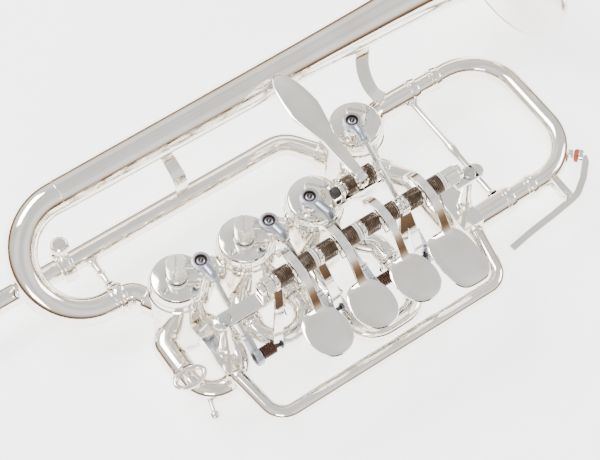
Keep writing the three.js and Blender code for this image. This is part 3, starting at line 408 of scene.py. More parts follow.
def round_tube(bm, points, outer, bore):
    """A tube with its wall, open at both ends."""
    sweep(bm, points, outer, caps=False)
    sweep(bm, points, bore, caps=False)
    for end, before in ((points[0], points[1]), (points[-1], points[-2])):
        turn(bm, [(bore, 0), (outer, 0)], end, (end - before).normalized(), sizes().tube_sides)


def port_heading(k, index):
    return (port(k, index, 20) - port(k, index, 10)).normalized()


def port_corner(k, y):
    """Where a valve's first port starts, and where its line meets a tube's line."""
    start = port(k, 0, 14)
    heading = (port(k, 0, 14.4) - start).normalized()
    return start, start + heading * ((y - start.y) / heading.y)


def valve_casing(k):
    bm = bmesh.new()
    turn(bm, [
        (0, -47), (9.6, -47), (10.2, -46.6), (12.9, -46.2), (13.4, -45.7), (13.4, -42.6), (13, -42.2),
        (12.9, -41.8), (13.2, -41.5), (13.2, -40.9), (12.9, -40.6), (12.9, -12.4), (13.4, -11.9),
        (13.4, -8.7), (12.9, -8.2), (11.9, -8.2), (11.9, -10), (0, -10),
    ], valve_spot(k))
    for index in ([0] if k < 3 else [0, 1, 2]):
        heading = port_heading(k, index)
        centre = valve_spot(k, LEVEL)
        ring(bm, centre, heading, 5.6, 7.2, 11.5, FERRULE_END, 0.5)
        ring(bm, centre, heading, 5.6, 7.5, 16.2, 17.4, 0.3)
    if k < 3:
        left, right, tube_to, _ = SLIDES[k]
        for index, offset in ((3, left), (2, right)):
            x = VALVES[k][0] + offset
            reach = offset / math.cos(math.radians(PORTS[k][index]))
            bend = min(6, (reach - CASE_RADIUS) * 1.6)
            path = route([port(k, index, PORT_START), port(k, index, reach), at(x, tube_to, LEVEL)], bend, 8)
            round_tube(bm, path, LOOP_RADIUS, BORE_RADIUS)
            ring(bm, at(x, tube_to, LEVEL), Y, 5.3, 6.4, 0, 2.2, 0.3)
            ring(bm, at(x, tube_to, LEVEL), Y, 5.3, 6.3, 2.9, 3.4, 0.15)
        end = 3 if k == 2 else 0
        knuckle = [port(k, 1, PORT_START), port(k, 1, 19.8), port(k + 1, end, 19.8), port(k + 1, end, 13.6)]
        sweep(bm, route(knuckle, 3.5, 6), LOOP_RADIUS)
        for valve, index in ((k, 1), (k + 1, end)):
            ring(bm, valve_spot(valve, LEVEL), port_heading(valve, index), 5.6, 6.9, 13.7, 15.2, 0.3)
    plated(bm, f"Valve_casing_{k + 1}", f"casing_{k + 1}")


def valve_cap(k):
    bm = bmesh.new()
    turn(bm, [
        (2.9, -0.3), (3.2, 0), (4.6, 0), (4.9, -0.25), (5.2, 0), (10.9, 0), (11.4, -0.15), (11.9, -0.6),
        (12.8, -2.6), (13, -3.3), (13, -3.9), (12.75, -4.1), (12.75, -4.4), (13, -4.6), (13, -7.4),
        (12.6, -7.9), (11.6, -7.9), (11.6, -11.9), (2.9, -11.9), (2.9, -0.3),
    ], valve_spot(k))
    plated(bm, f"Valve_cap_{k + 1}", f"cap_{k + 1}")


def cap_screws(k):
    bm = bmesh.new()
    for angle in (-160, 20):
        turned = Quaternion(Z, math.radians(angle))
        slotted_screw(bm, valve_spot(k) + turned @ at(8.6, 0, 0), Z, 1.7, SCREW_HEIGHT, turned @ X, 0.4)
    finish_piece(bm, f"Cap_screws_{k + 1}", "Bright steel", f"cap_{k + 1}", slot="steel", bevel=0.00006)


class TRUMPET_OT_valves(bpy.types.Operator):
    """Casings with their bottom caps, ports, valve loops and top caps"""

    bl_idname = "trumpet.valves"
    bl_label = "Valve casings and caps"

    def execute(self, context):
        for k in range(4):
            valve_casing(k)
            valve_cap(k)
            cap_screws(k)
            finish_node(f"rotor_{k + 1}", "Bright steel")
        return {"FINISHED"}


class TRUMPET_OT_stop_arms(bpy.types.Operator):
    """Slotted barrels on the rotor spindles with their stop arms"""

    bl_idname = "trumpet.stop_arms"
    bl_label = "Stop arms"

    def execute(self, context):
        for k, (reach, angle, top) in enumerate(STOP_ARMS):
            bm = bmesh.new()
            turned = Quaternion(Z, math.radians(angle))
            end = turned @ at(reach, 0, 0)
            sweep(bm, [valve_spot(k, 7.1) + turned @ at(3.4, 0, 0), valve_spot(k, 7.1) + end], [4.8, 4], 2.2)
            disc(bm, valve_spot(k) + end, Z, 3, 5.8, 8.4, 0.4)
            plated(bm, f"Stop_arm_{k + 1}", f"stop_arm_{k + 1}", bevel=sizes().edge)
            bm = bmesh.new()
            slotted_barrel(bm, valve_spot(k), 4.4, 0.6, top, turned @ Y)
            finish_piece(bm, f"Stop_barrel_{k + 1}", "Satin silver", f"stop_arm_{k + 1}", bevel=0.0001)
        return {"FINISHED"}


def slotted_barrel(bm, origin, radius, low, high, along):
    """A turned head split by a slot across its top, drawn as two halves on a solid foot."""
    turn(bm, [
        (0, low), (radius, low), (radius, low + 1.2), (radius - 0.35, low + 1.6), (radius - 0.35, low + 2.1),
        (radius, low + 2.5), (radius, high - 1.6), (0, high - 1.6),
    ], origin)
    half_heads(bm, origin, Z, radius, high - 1.6, high, along, 0.55)


def half_heads(bm, origin, axis, radius, low, high, along, gap):
    """Two half rounds with a straight gap between them."""
    across = axis.cross(along).normalized()
    for sign in (-1, 1):
        part = bmesh.new()
        turn(part, [(0, low), (radius, low), (radius, high - 0.3), (radius - 0.3, high), (0, high)], origin, axis)
        bmesh.ops.remove_doubles(part, verts=part.verts, dist=0.000001)
        cut = bmesh.ops.bisect_plane(
            part, geom=part.verts[:] + part.edges[:] + part.faces[:], dist=0.0000001,
            plane_co=HOME + (origin + across * gap * sign) * MM, plane_no=across * sign, clear_inner=True,
        )
        rim = [g for g in cut["geom_cut"] if isinstance(g, bmesh.types.BMEdge)]
        bmesh.ops.edgeloop_fill(part, edges=rim)
        scrap = bpy.data.meshes.new("Half head")
        part.to_mesh(scrap)
        part.free()
        bm.from_mesh(scrap)
        bpy.data.meshes.remove(scrap)


def slotted_screw(bm, foot, axis, radius, height, along, depth=0.5):
    """A round screw head with a straight slot."""
    turn(bm, [(0, -0.4), (radius, -0.4), (radius, height - depth), (0, height - depth)], foot, axis)
    half_heads(bm, foot, axis, radius, height - depth, height, along, radius * 0.16)


def finish_node(node, finish):
    """Gives a solid that stays as it is its finish."""
    materials = frame["nodes"][node].data.materials
    materials.clear()
    materials.append(finishes()[finish])


def bell_radius(x):
    """A slow cone that opens into the flare."""
    share = (x - BELL_TAIL) / (BELL_RIM - BELL_TAIL)
    cone = TAIL_RADIUS + (CONE_RADIUS - TAIL_RADIUS) * share
    return cone + (MOUTH_RADIUS - cone) * (FLARE_LENGTH / (BELL_RIM - x + FLARE_LENGTH)) ** FLARE_POWER


def bell_bow():
    high, low = at(BOW_X, BELL_Y, BELL_Z), at(BOW_X, BOW_Y, LEVEL)
    centre = (high + low) / 2
    up = high - centre
    out = at(-up.length, 0, 0)
    steps = 40
    angles = [math.pi * i / steps for i in range(steps + 1)]
    curve = [centre + up * math.cos(angle) + out * math.sin(angle) for angle in angles]
    start, corner = port_corner(0, BOW_Y)
    leg = route([low, corner, start], 7, 10)[1:]
    points = [at(BELL_TAIL, BELL_Y, BELL_Z), *curve, *leg]
    shares = [min(max((i - 1) / steps, 0), 1) for i in range(steps + 2)]
    widths = [TAIL_RADIUS + (6.5 - TAIL_RADIUS) * share for share in shares]
    widths += [6.3, *[LEAD_RADIUS] * (len(points) - steps - 3)]
    bm = bmesh.new()
    sweep(bm, points, widths)
    plated(bm, "Bell_bow", "bell_bow")
    bm = bmesh.new()
    ring(bm, at(0, BOW_Y, LEVEL), X, 6.4, 7.9, -20.3, -17.1, 0.4)
    ring(bm, at(0, BOW_Y, LEVEL), X, 6.4, 7.2, -16.4, -15.6, 0.3)
    ring(bm, at(0, BOW_Y, LEVEL), X, 6.4, 7.3, -22.3, -21.3, 0.3)
    plated(bm, "Bow_ferrule", "bow_ferrule", slot="satin_silver")


class TRUMPET_OT_bell(bpy.types.Operator):
    """Bell with its rolled rim, its bow and the ferrules between them"""

    bl_idname = "trumpet.bell"
    bl_label = "Bell and bow"

    def execute(self, context):
        wall = sizes().bell_wall / MM
        centre = at(0, BELL_Y, BELL_Z)
        bm = bmesh.new()
        stations = [BELL_TAIL + (BELL_RIM - BELL_TAIL) * (1 - (1 - i / 60) ** 1.8) for i in range(61)]
        outside = [(bell_radius(x), x) for x in stations]
        inside = [(bell_radius(x) - wall, x) for x in reversed(stations)]
        bead = [
            (MOUTH_RADIUS + BEAD_OUT + BEAD_RADIUS * math.cos(a), BELL_RIM + BEAD_OUT + BEAD_RADIUS * math.sin(a))
            for a in [math.radians(-150 + 30 * i) for i in range(11)]
        ]
        turn(bm, outside[:-1] + bead + inside + outside[:1], centre, X, 96)
        plated(bm, "Bell", "bell")
        bm = bmesh.new()
        ring(bm, centre, X, 7.2, 8.15, BELL_TAIL - 0.1, BELL_TAIL + 0.5, 0.15)
        finish_piece(bm, "Bell_tail_seam", "Silver plate", "bell")
        bell_bow()
        return {"FINISHED"}


def lead_clamp(line):
    bm = bmesh.new()
    ring(bm, line, X, 5.4, 8.0, -34, -27, 0.6)
    ring(bm, line, X, 5.4, 8.3, -32.2, -28.8, 0.4)
    plated(bm, "Clamp_ring", "clamp_ring")
    bm = bmesh.new()
    foot = at(CLAMP_X, LEAD_Y, 0)
    turn(bm, [(0, -25.9), (2.1, -25.9), (2.1, -25.2), (1.3, -24.4), (1.3, -18.2), (0, -18.2)], foot)
    knurled(bm, foot, Z, 4.2, 3.9, -18, -15, 28)
    turn(bm, [(0, -15.1), (3.8, -15.1), (3, -14.3), (0, -14.2)], foot)
    plated(bm, "Clamp_thumbscrew", "clamp_screw")


class TRUMPET_OT_leadpipe(bpy.types.Operator):
    """Leadpipe with its receiver, shank and clamp"""

    bl_idname = "trumpet.leadpipe"
    bl_label = "Leadpipe and receiver"

    def execute(self, context):
        line = at(0, LEAD_Y, LEVEL)
        start, corner = port_corner(3, LEAD_Y)
        bm = bmesh.new()
        sweep(bm, route([at(-96, LEAD_Y, LEVEL), corner, start], 13, 14), LEAD_RADIUS)
        plated(bm, "Leadpipe", "leadpipe")
        bm = bmesh.new()
        turn(bm, [
            (5.7, -129.6), (6.1, -130), (6.9, -130), (7.2, -129.6), (7.2, -127.3), (6.5, -126.4), (6.4, -125),
            (6.4, -96.2), (6.6, -95), (7.2, -94.3), (7.2, -92.5), (6.8, -92), (5.6, -92), (5.6, -96.2),
            (5.7, -96.4), (5.7, -129.6),
        ], line, X)
        ring(bm, line, X, 6.2, 6.8, -121, -119.8, 0.25)
        ring(bm, line, X, 6.2, 6.8, -102, -100.8, 0.25)
        plated(bm, "Receiver", "receiver")
        bm = bmesh.new()
        turn(bm, [
            (4, -151.4), (4.5, -152), (6.4, -152), (7, -151.4), (7, -149.6), (6.5, -149), (7, -148.4), (6.2, -147.6),
            (5.3, -147), (5.2, -96.7), (4, -96.7), (4, -151.4),
        ], line, X)
        plated(bm, "Receiver_shank", "shank")
        lead_clamp(line)
        return {"FINISHED"}


def knurled(bm, origin, axis, outer, inner, low, high, ribs):
    """A ribbed sleeve: a round whose every other edge is drawn in."""
    turned_to = Z.rotation_difference(axis)
    centre = HOME + (origin + axis * low) * MM
    place = Matrix.Translation(centre) @ turned_to.to_matrix().to_4x4()
    start = bmesh.ops.create_circle(bm, cap_ends=True, segments=ribs * 2, radius=outer * MM, matrix=place)["verts"]
    rim = sorted(start, key=lambda vert: angle_round(vert.co - centre, axis))
    for vert in rim[::2]:
        vert.co = centre + (vert.co - centre) * (inner / outer)
    face = start[0].link_faces[0]
    grown = bmesh.ops.extrude_face_region(bm, geom=[face], use_keep_orig=True)["geom"]
    fresh = [g for g in grown if isinstance(g, bmesh.types.BMVert)]
    bmesh.ops.translate(bm, vec=axis * (high - low) * MM, verts=fresh)


def angle_round(offset, axis):
    side = axis.orthogonal().normalized()
    return math.atan2(offset.dot(axis.cross(side)), offset.dot(side))


def slide_grips(bm, leg, end):
    centre = leg + at(-1, -6.5, 7.6)
    loop = [centre + at(7 * math.cos(a), 4 * math.sin(a), 0) for a in [math.tau * i / 36 for i in range(37)]]
    sweep(bm, loop, 1.2, sides=20, caps=False)
    shoulder = at(leg.x, centre.y + 4, centre.z)
    sweep(bm, [at(leg.x, shoulder.y, leg.z + 4.4), shoulder], 1.2, sides=20)
    foot = at(leg.x + 2.4, end, leg.z)
    knob = foot + at(-2.55, -8.5, 0)
    sweep(bm, [foot, foot.lerp(knob, 0.45), knob], [1.8, 1.1, 1.2], sides=24)
    ball(bm, knob, 2.4)


class TRUMPET_OT_slides(bpy.types.Operator):
    """Slides of the first three valves, with the finger ring and knob on the first"""

    bl_idname = "trumpet.slides"
    bl_label = "Valve slides"

    def execute(self, context):
        for k, (left, right, tube_to, end) in enumerate(SLIDES):
            x = VALVES[k][0]
            corners = [
                at(x + left, tube_to + 5, LEVEL), at(x + left, end, LEVEL),
                at(x + right, end, LEVEL), at(x + right, tube_to + 5, LEVEL),
            ]
            bm = bmesh.new()
            sweep(bm, route(corners, min((right - left) / 2 - 0.1, 12), 12), SLIDE_RADIUS)
            for side in (left, right):
                ring(bm, at(x + side, tube_to, LEVEL), Y, 4.9, 5.7, -2.6, -1.2, 0.3)
            if k == 0:
                slide_grips(bm, at(x + left, tube_to, LEVEL), end)
            plated(bm, f"Valve_slide_{k + 1}", f"slide_{k + 1}")
        return {"FINISHED"}


def lower_bend():
    """The centre of the front slide's lower bend, and the way that its water nipple points."""
    return at(FRONT_END - FRONT_BEND, FRONT_LOWER + FRONT_BEND, LEVEL), at(math.sqrt(0.5), -math.sqrt(0.5), 0)


def front_legs():
    upper_angle, lower_angle = math.radians(PORTS[3][1]), math.radians(PORTS[3][2])
    upper = [
        port(3, 1, FERRULE_END), port(3, 1, (FRONT_UPPER - VALVES[3][1]) / math.sin(upper_angle)),
        at(FRONT_LEG, FRONT_UPPER, LEVEL),
    ]
    lower = [
        port(3, 2, FERRULE_END), port(3, 2, (FRONT_TURN_X - VALVES[3][0]) / math.cos(lower_angle)),
        at(FRONT_TURN_X, FRONT_LOWER, LEVEL),
        at(FRONT_LEG, FRONT_LOWER, LEVEL),
    ]
    for name, node, path, y in (
        ("Front_leg_upper", "front_leg_upper", route(upper, 9, 12), FRONT_UPPER),
        ("Front_leg_lower", "front_leg_lower", route(lower, [7, 9], 12), FRONT_LOWER),
    ):
        bm = bmesh.new()
        round_tube(bm, path, FRONT_RADIUS, BORE_RADIUS)
        ring(bm, at(0, y, LEVEL), X, 5.2, 6.4, FRONT_LEG - 3.4, FRONT_LEG, 0.4)
        ring(bm, at(0, y, LEVEL), X, 5.2, 6.35, FRONT_LEG - 5, FRONT_LEG - 4.2, 0.2)
        plated(bm, name, node)


def front_slide():
    corners = [
        at(FRONT_LEG - 15, FRONT_UPPER, LEVEL), at(FRONT_END, FRONT_UPPER, LEVEL),
        at(FRONT_END, FRONT_LOWER, LEVEL), at(FRONT_LEG - 15, FRONT_LOWER, LEVEL),
    ]
    bm = bmesh.new()
    sweep(bm, route(corners, FRONT_BEND, 20), SLIDE_RADIUS)
    for y in (FRONT_UPPER, FRONT_LOWER):
        ring(bm, at(0, y, LEVEL), X, 4.9, 5.8, 167.5, 171, 0.4)
        ring(bm, at(0, y, LEVEL), X, 4.9, 5.4, 165.6, 166.4, 0.25)
    for sign in (-1, 1):
        near, far = LEVEL + sign * 1.8, LEVEL + sign * 3.4
        block(bm, at(WATER_X - 1.8, WATER_Y - 1.8, min(near, far)), at(WATER_X + 1.8, -37.8, max(near, far)))
    centre, nipple = lower_bend()
    ring(bm, centre, nipple, 1.2, 2.6, 28, 30.6, 0.4)
    disc(bm, at(WATER_X, WATER_Y, LEVEL), Z, 1, -3.6, 3.6, 0.3)
    plated(bm, "Front_slide", "front_slide", bevel=0.0002)


def water_key():
    centre, nipple = lower_bend()
    cup = 33.8
    bm = bmesh.new()
    arm = [
        centre + nipple * (cup + 1.6), *[at(WATER_X + x, WATER_Y + y, LEVEL) for x, y in (
            (18.6, 8.9), (12, 2.6), (5, -2.2), (-0.5, -3.4), (-10.5, -4.8), (-25.5, -6.4), (-38.5, -8.4),
        )],
    ]
    sweep(bm, route(arm, [4, 5, 7, 8, 9, 9, 9], 6), 2.1, 3.4)
    disc(bm, at(WATER_X, WATER_Y, LEVEL), Z, 2.2, -1.5, 1.5, 0.3)
    turn(bm, [
        (0, cup + 1.6), (3, cup + 1.6), (3.3, cup + 1.2), (3.3, cup - 0.7), (3, cup - 0.7), (2.9, cup), (0, cup),
    ], centre, nipple)
    plated(bm, "Water_key", "water_key", bevel=0.0003)
    bm = bmesh.new()
    turn(bm, [
        (0, cup - 2.7), (2.3, cup - 2.7), (2.9, cup - 2.3), (3.2, cup - 1.4), (2.95, cup - 0.3), (0, cup - 0.3),
    ], centre, nipple)
    finish_piece(bm, "Water_key_cork", "Stopper cork", "key_cork", ["key_cork"], slot="red_cork")


def turned_brace(name, node, start, end):
    heading = (end - start).normalized()
    length = (end - start).length
    bm = bmesh.new()
    turn(bm, [
        (0, 0), (3.1, 0), (3.2, 0.5), (2.8, 1.1), (2, 1.9), (1.8, 3.5), (1.8, length * 0.42), (2.2, length * 0.45),
        (2.5, length * 0.5), (2.2, length * 0.55), (1.8, length * 0.58), (1.8, length - 3.5), (2, length - 1.9),
        (2.8, length - 1.1), (3.2, length - 0.5), (3.1, length), (0, length),
    ], start, heading)
    plated(bm, name, node)


class TRUMPET_OT_front_loop(bpy.types.Operator):
    """Loop of the fourth valve with its slide, brace and water key"""

    bl_idname = "trumpet.front_loop"
    bl_label = "Front loop"

    def execute(self, context):
        front_legs()
        front_slide()
        water_key()
        turned_brace(
            "Front_brace", "front_brace",
            at(FRONT_BRACE_X, FRONT_LOWER + 6, LEVEL), at(FRONT_BRACE_X, FRONT_UPPER - 6, LEVEL),
        )
        turned_brace(
            "Receiver_brace", "receiver_brace",
            at(LEAD_BRACE_X, BOW_Y + 7.8, LEVEL), at(LEAD_BRACE_X, LEAD_Y - 5.2, LEVEL),
        )
        return {"FINISHED"}


def key_x(k):
    return FIRST_KEY + k * KEY_PITCH


def hinge_at(x, y=0.0, z=0.0):
    """A point beside the hinge's line."""
    return at(x, HINGE_Y + y, HINGE_Z + z)


def loft(bm, layers, sides, shape):
    """Joins outlines, one at each share of the full width and height, and closes the first and the last."""
    rings = []
    for share, z in layers:
        made = bmesh.ops.create_circle(bm, segments=sides, radius=1)["verts"]
        for vert in made:
            vert.co = HOME + at(*shape(vert.co.x, vert.co.y, share), z) * MM
        rings.append(edges_round(made))
    for lower, upper in zip(rings, rings[1:]):
        bmesh.ops.bridge_loops(bm, edges=lower + upper)
    bmesh.ops.edgeloop_fill(bm, edges=rings[0])
    bmesh.ops.edgeloop_fill(bm, edges=rings[-1])


def key_lever(k):
    x = key_x(k)
    start, end = x - HUB_BEFORE, x + HUB_AFTER
    ball_x, arm_x = LOWER_BALL[k]
    bm = bmesh.new()
    ring(bm, HINGE, X, 2.2, 3.0, start + 0.4, end - 0.4, 0.2, 40)
    ring(bm, HINGE, X, 2.2, 4.4, start, start + 1.7, 0.35, 48)
    ring(bm, HINGE, X, 2.2, 4.6, x - 1.2, x + 1.2, 0.4, 48)
    if k == TURNED_KEY:
        ring(bm, HINGE, X, 2.2, 4.4, end - 1.7, end, 0.35, 48)
    curl = [(11.6, -5.2), (12.1, -3), (11.4, -1), (9.8, 1.4), (7.6, 3.5), (5.2, 4.8), (2, 5.45), (-1, 5.55)]
    front = [
        (-4, 5.2), (-7, 4.1), (-9.4, 2.4), (-11.5, 0.4), (-15, -4.3), (-17.7, -7.7), (-20, -9.4), (-25, -9.9),
    ]
    arm = [hinge_at(x, y, z) for y, z in curl + front]
    taper = [2.2, 2.8, 3.3, 3.7, 3.9, 3.9, 3.9, 3.9, 3.9, 3.8, 3.7, 3.7, 3.9, 4.2, 4.6, 5]
    sweep(bm, arm, taper, [1.9] * 12 + [1.8, 1.5, 1.1, 0.8], side=X)
    web = x + (HUB_AFTER - 0.85 if k == TURNED_KEY else 0.85 - HUB_BEFORE)
    low = [
        hinge_at(web), hinge_at(web, -3.2, -4.4), at(web + (arm_x - web) * 0.35, HINGE_Y - 8, HINGE_Z - 10.5),
        at(web + (arm_x - web) * 0.8, LOWER_Y + 2, LOWER_Z + 8), at(arm_x, LOWER_Y, LOWER_Z),
        at(arm_x, LOWER_Y, LOWER_Z - 2.5),
    ]
    sweep(bm, low, [4, 4, 4.2, 4.4, 4.6, 4], [1.5] * 6, side=X)
    plated(bm, f"Key_lever_{k + 1}", f"lever_{k + 1}", bevel=sizes().edge)
    bm = bmesh.new()
    toward = X * (1 if arm_x > ball_x else -1)
    gap = abs(arm_x - ball_x)
    centre = at(ball_x, LOWER_Y, LOWER_Z)
    ball(bm, centre, 2.4)
    disc(bm, centre, toward, 1.5, 1.2, gap + 0.9, 0.2, 32)
    disc(bm, centre, toward, 2.6, gap + 0.7, gap + 2.2, 0.4, 6)
    finish_piece(bm, f"Lower_stud_{k + 1}", "Blackened steel", f"lever_{k + 1}")
    rib = 1.1
    ribs = int((gap - 3.4) / rib)
    if ribs < 2:
        return
    bm = bmesh.new()
    for i in range(ribs):
        ring(bm, centre, toward, 1.4, 2.9, 2.3 + i * rib, 3.3 + i * rib, 0.4, 32)
    finish_piece(bm, f"Lower_bush_{k + 1}", "Copper liner", f"lever_{k + 1}")


def touchpiece(k):
    last = k == 3
    length, centre_y = (30, -60.5) if last else (25, -58)
    power = 0.62 if last else 0.92
    x = key_x(k) + TOUCH_SHIFTS[k]

    def outline(a, b, share):
        across = math.copysign(abs(a) ** power, a) * 10 * share
        along = math.copysign(abs(b) ** power, b) * length / 2 * share
        return x + across, centre_y + along

    bm = bmesh.new()
    layers = [(0.93, -0.9), (0.985, -0.45), (1, 0.2), (0.975, 0.68), (0.9, 0.92), (0.6, 1), (0.25, 1.03)]
    loft(bm, layers, 56, outline)
    finish_piece(bm, f"Touchpiece_{k + 1}", "Silver plate", f"lever_{k + 1}")


def hub_spacers(k):
    """Two white rings at a hub's far end, where the turned-round hub has its collar."""
    if k == TURNED_KEY:
        return
    x = key_x(k)
    bm = bmesh.new()
    for edge in (x + HUB_AFTER - 2.2, x + HUB_AFTER - 1):
        ring(bm, HINGE, X, 3.02, 4.3, edge, edge + 0.8, 0.2, 48)
    finish_piece(bm, f"Hub_spacers_{k + 1}", "Spacer ring", f"lever_{k + 1}")


class TRUMPET_OT_keys(bpy.types.Operator):
    """Key levers: hubs, bent arms, spoon-shaped touchpieces and the arms that drive the links"""

    bl_idname = "trumpet.keys"
    bl_label = "Key levers"

    def execute(self, context):
        for k in range(4):
            key_lever(k)
            touchpiece(k)
            hub_spacers(k)
        return {"FINISHED"}


def coil(centre, turns, legs, half_gap, pitch, reach, radius=4, leg_angle=-30, drop=3.1, steps=24):
    """Route of a leg, a coil, a hairpin and the mirrored coil with its leg."""
    start = math.radians(leg_angle)

    def around(x, angle):
        return at(x, centre.y + radius * math.cos(angle), centre.z + radius * math.sin(angle))

    sides = []
    for sign, count, leg in ((-1, turns[0], legs[0]), (1, turns[1], legs[1])):
        total = count * math.tau + math.pi / 2 - start
        number = round(total / (math.tau / steps))
        length = pitch * total / math.tau
        points = [
            around(centre.x + sign * (half_gap + length * (1 - i / number)), start + total * i / number)
            for i in range(number + 1)
        ]
        heading = at(0, math.sin(start), -math.cos(start))
        sides.append([points[0] + heading * leg, points[0] + heading * leg * 0.4] + points)
    wire = 0.45
    hairpin = [
        at(centre.x - half_gap - wire, centre.y - reach, centre.z + radius - drop),
        at(centre.x + half_gap + wire, centre.y - reach, centre.z + radius - drop),
    ]
    return [*sides[0], *hairpin, *reversed(sides[1])]


class TRUMPET_OT_springs(bpy.types.Operator):
    """Double coil springs round the hubs of the keys and of the thumb paddle"""

    bl_idname = "trumpet.springs"
    bl_label = "Springs"

    def execute(self, context):
        wire = sizes().wire / MM / 2
        turns = [(8, 8), (8, 8), (8, 6), (8, 8)]
        legs = [(21, 15), (13, 6), (11, 11), (11, 15)]
        for k in range(4):
            path = coil(hinge_at(key_x(k)), turns[k], legs[k], half_gap=2.55, pitch=0.8, reach=7.6)
            bm = bmesh.new()
            sweep(bm, path, wire, sides=10)
            finish_piece(
                bm, f"Key_spring_{k + 1}", "Spring wire", f"spring_{k + 1}", [f"spring_{k + 1}"], slot="dark_bronze",
            )
        path = coil(at(THUMB_X, THUMB_Y, THUMB_Z), (6, 4), (4, 4), half_gap=3.55, pitch=0.72, reach=6.08)
        bm = bmesh.new()
        sweep(bm, path, wire * 0.9, sides=10)
        finish_piece(bm, "Thumb_spring", "Spring wire", "thumb_spring", ["thumb_spring"], slot="dark_bronze")
        return {"FINISHED"}


def ball_joint(k, top):
    bm = bmesh.new()
    ring(bm, top, Z, 2.9, 4.15, -1.5, 1.5, 0.35)
    finish_piece(bm, f"Ball_joint_ring_{k + 1}", "Joint steel", f"link_{k + 1}", slot="steel")
    bm = bmesh.new()
    ring(bm, top, Z, 2.35, 2.95, -1.35, 1.4, 0.1)
    finish_piece(bm, f"Ball_joint_liner_{k + 1}", "Copper liner", f"link_{k + 1}", slot="steel")
    bm = bmesh.new()
    ball(bm, top, 2.4, (1, 1, 0.66))
    disc(bm, top, Z, 1.4, -3.1, 0, 0.2)
    finish_piece(bm, f"Ball_joint_ball_{k + 1}", "Joint steel", f"link_{k + 1}", slot="steel")
    bm = bmesh.new()
    slotted_screw(bm, top + at(0, 0, 1.25), Z, 1.25, 0.5, at(0.8, 0.6, 0), 0.3)
    finish_piece(bm, f"Ball_joint_screw_{k + 1}", "Blackened steel", f"link_{k + 1}", slot="steel")


class TRUMPET_OT_links(bpy.types.Operator):
    """Bent links with a ball joint over each stop arm and an eye on each lower ball"""

    bl_idname = "trumpet.links"
    bl_label = "Links and ball joints"

    def execute(self, context):
        for k, (reach, angle, _) in enumerate(STOP_ARMS):
            turned = Quaternion(Z, math.radians(angle))
            top = valve_spot(k, 13) + turned @ at(reach, 0, 0)
            low = at(LOWER_BALL[k][0], LOWER_Y, LOWER_Z)
            shift = (low.x - top.x) * LINK_BENDS[k] / (top.y - low.y)
            bend = at(top.x + shift, top.y - LINK_BENDS[k], top.z)
            slope = (low - bend).normalized()
            ball_joint(k, top)
            bm = bmesh.new()
            upper = [top.lerp(bend, 0.42), top.lerp(bend, 0.5), bend, bend + slope * 2.5, bend + slope * 3]
            sweep(bm, upper, [2, 2.2, 2.3, 2.2, 1.9], sides=32)
            flare = [top.lerp(bend, reached / LINK_BENDS[k]) for reached in (2.9, 6)]
            sweep(bm, flare, 2.6, [6, 4.2], side=Z)
            lower = [low - slope * back for back in (10, 9.4, 4, 3.6)]
            sweep(bm, lower, [1.5, 2, 2, 1.4], sides=32)
            ring(bm, low, X, 2.6, 4.15, -1.5, 1.5, 0.3)
            finish_piece(bm, f"Link_shanks_{k + 1}", "Joint steel", f"link_{k + 1}", [f"link_{k + 1}"], slot="steel")
            bm = bmesh.new()
            sweep(bm, [bend + slope * 2, low - slope * 9], 1.3, sides=28)
            disc(bm, bend, slope, 2.3, 3, 4.6, 0.3, 6)
            disc(bm, low, -slope, 2.3, 10, 11.6, 0.3, 6)
            finish_piece(bm, f"Link_rod_{k + 1}", "Bright steel", f"link_{k + 1}", slot="steel")
        return {"FINISHED"}


def rod_bar(side, inner, outer, edge):
    outward = 1 if outer > inner else -1
    centre = outer - outward * 3.7
    tip = inner - outward * 2.4
    lug = inner + outward * 2
    bm = bmesh.new()
    block(bm, at(min(tip, centre), BAR_Y - 3.7, BAR_LOW), at(max(tip, centre), BAR_Y + 3.7, BAR_TOP))
    disc(bm, at(centre, BAR_Y, 0), Z, 3.7, BAR_LOW, BAR_TOP, 0.35)
    block(bm, at(min(inner, lug), HINGE_Y - 3.1, BAR_LOW + 0.5), at(max(inner, lug), HINGE_Y + 3.1, HINGE_Z))
    disc(bm, hinge_at(inner), X * outward, 3.4, 0, 2, 0.4)
    plated(bm, f"Bar_{side}", f"bar_{side}", bevel=edge * 1.6)


def frame_stand(side, x, base_x, width):
    bm = bmesh.new()
    turn(bm, [
        (0, -24), (3.4, -24), (3.4, -19.3), (3.1, -18.8), (2.8, -17.2), (3, -16.2), (2.6, -15), (2.3, -9),
        (1.9, -1.8), (2.3, -0.7), (2.7, -0.1), (2.2, 0.6), (2.9, 1.7), (3.2, 2.9), (0, 2.9),
    ], at(x, BAR_Y, 0))
    block(bm, at(base_x - width / 2, -42, -27.7), at(base_x + width / 2, -13.8, -21.3))
    plated(bm, f"Stand_{side}", f"stand_{side}", bevel=0.0009)


def hand_frame():
    corners = [at(1, -42.9, -24), at(4.6, -70.6, -24), at(124, -70.6, -24), at(129.6, -42.9, -24)]
    bm = bmesh.new()
    sweep(bm, route(corners, 9, 14), 3.6)
    for end, onward in ((corners[0], corners[1]), (corners[3], corners[2])):
        axis = (onward - end).normalized()
        ring(bm, end, axis, 3.4, 3.9, 0.3, 2.6, 0.25)
    plated(bm, "Hand_frame", "hand_frame")


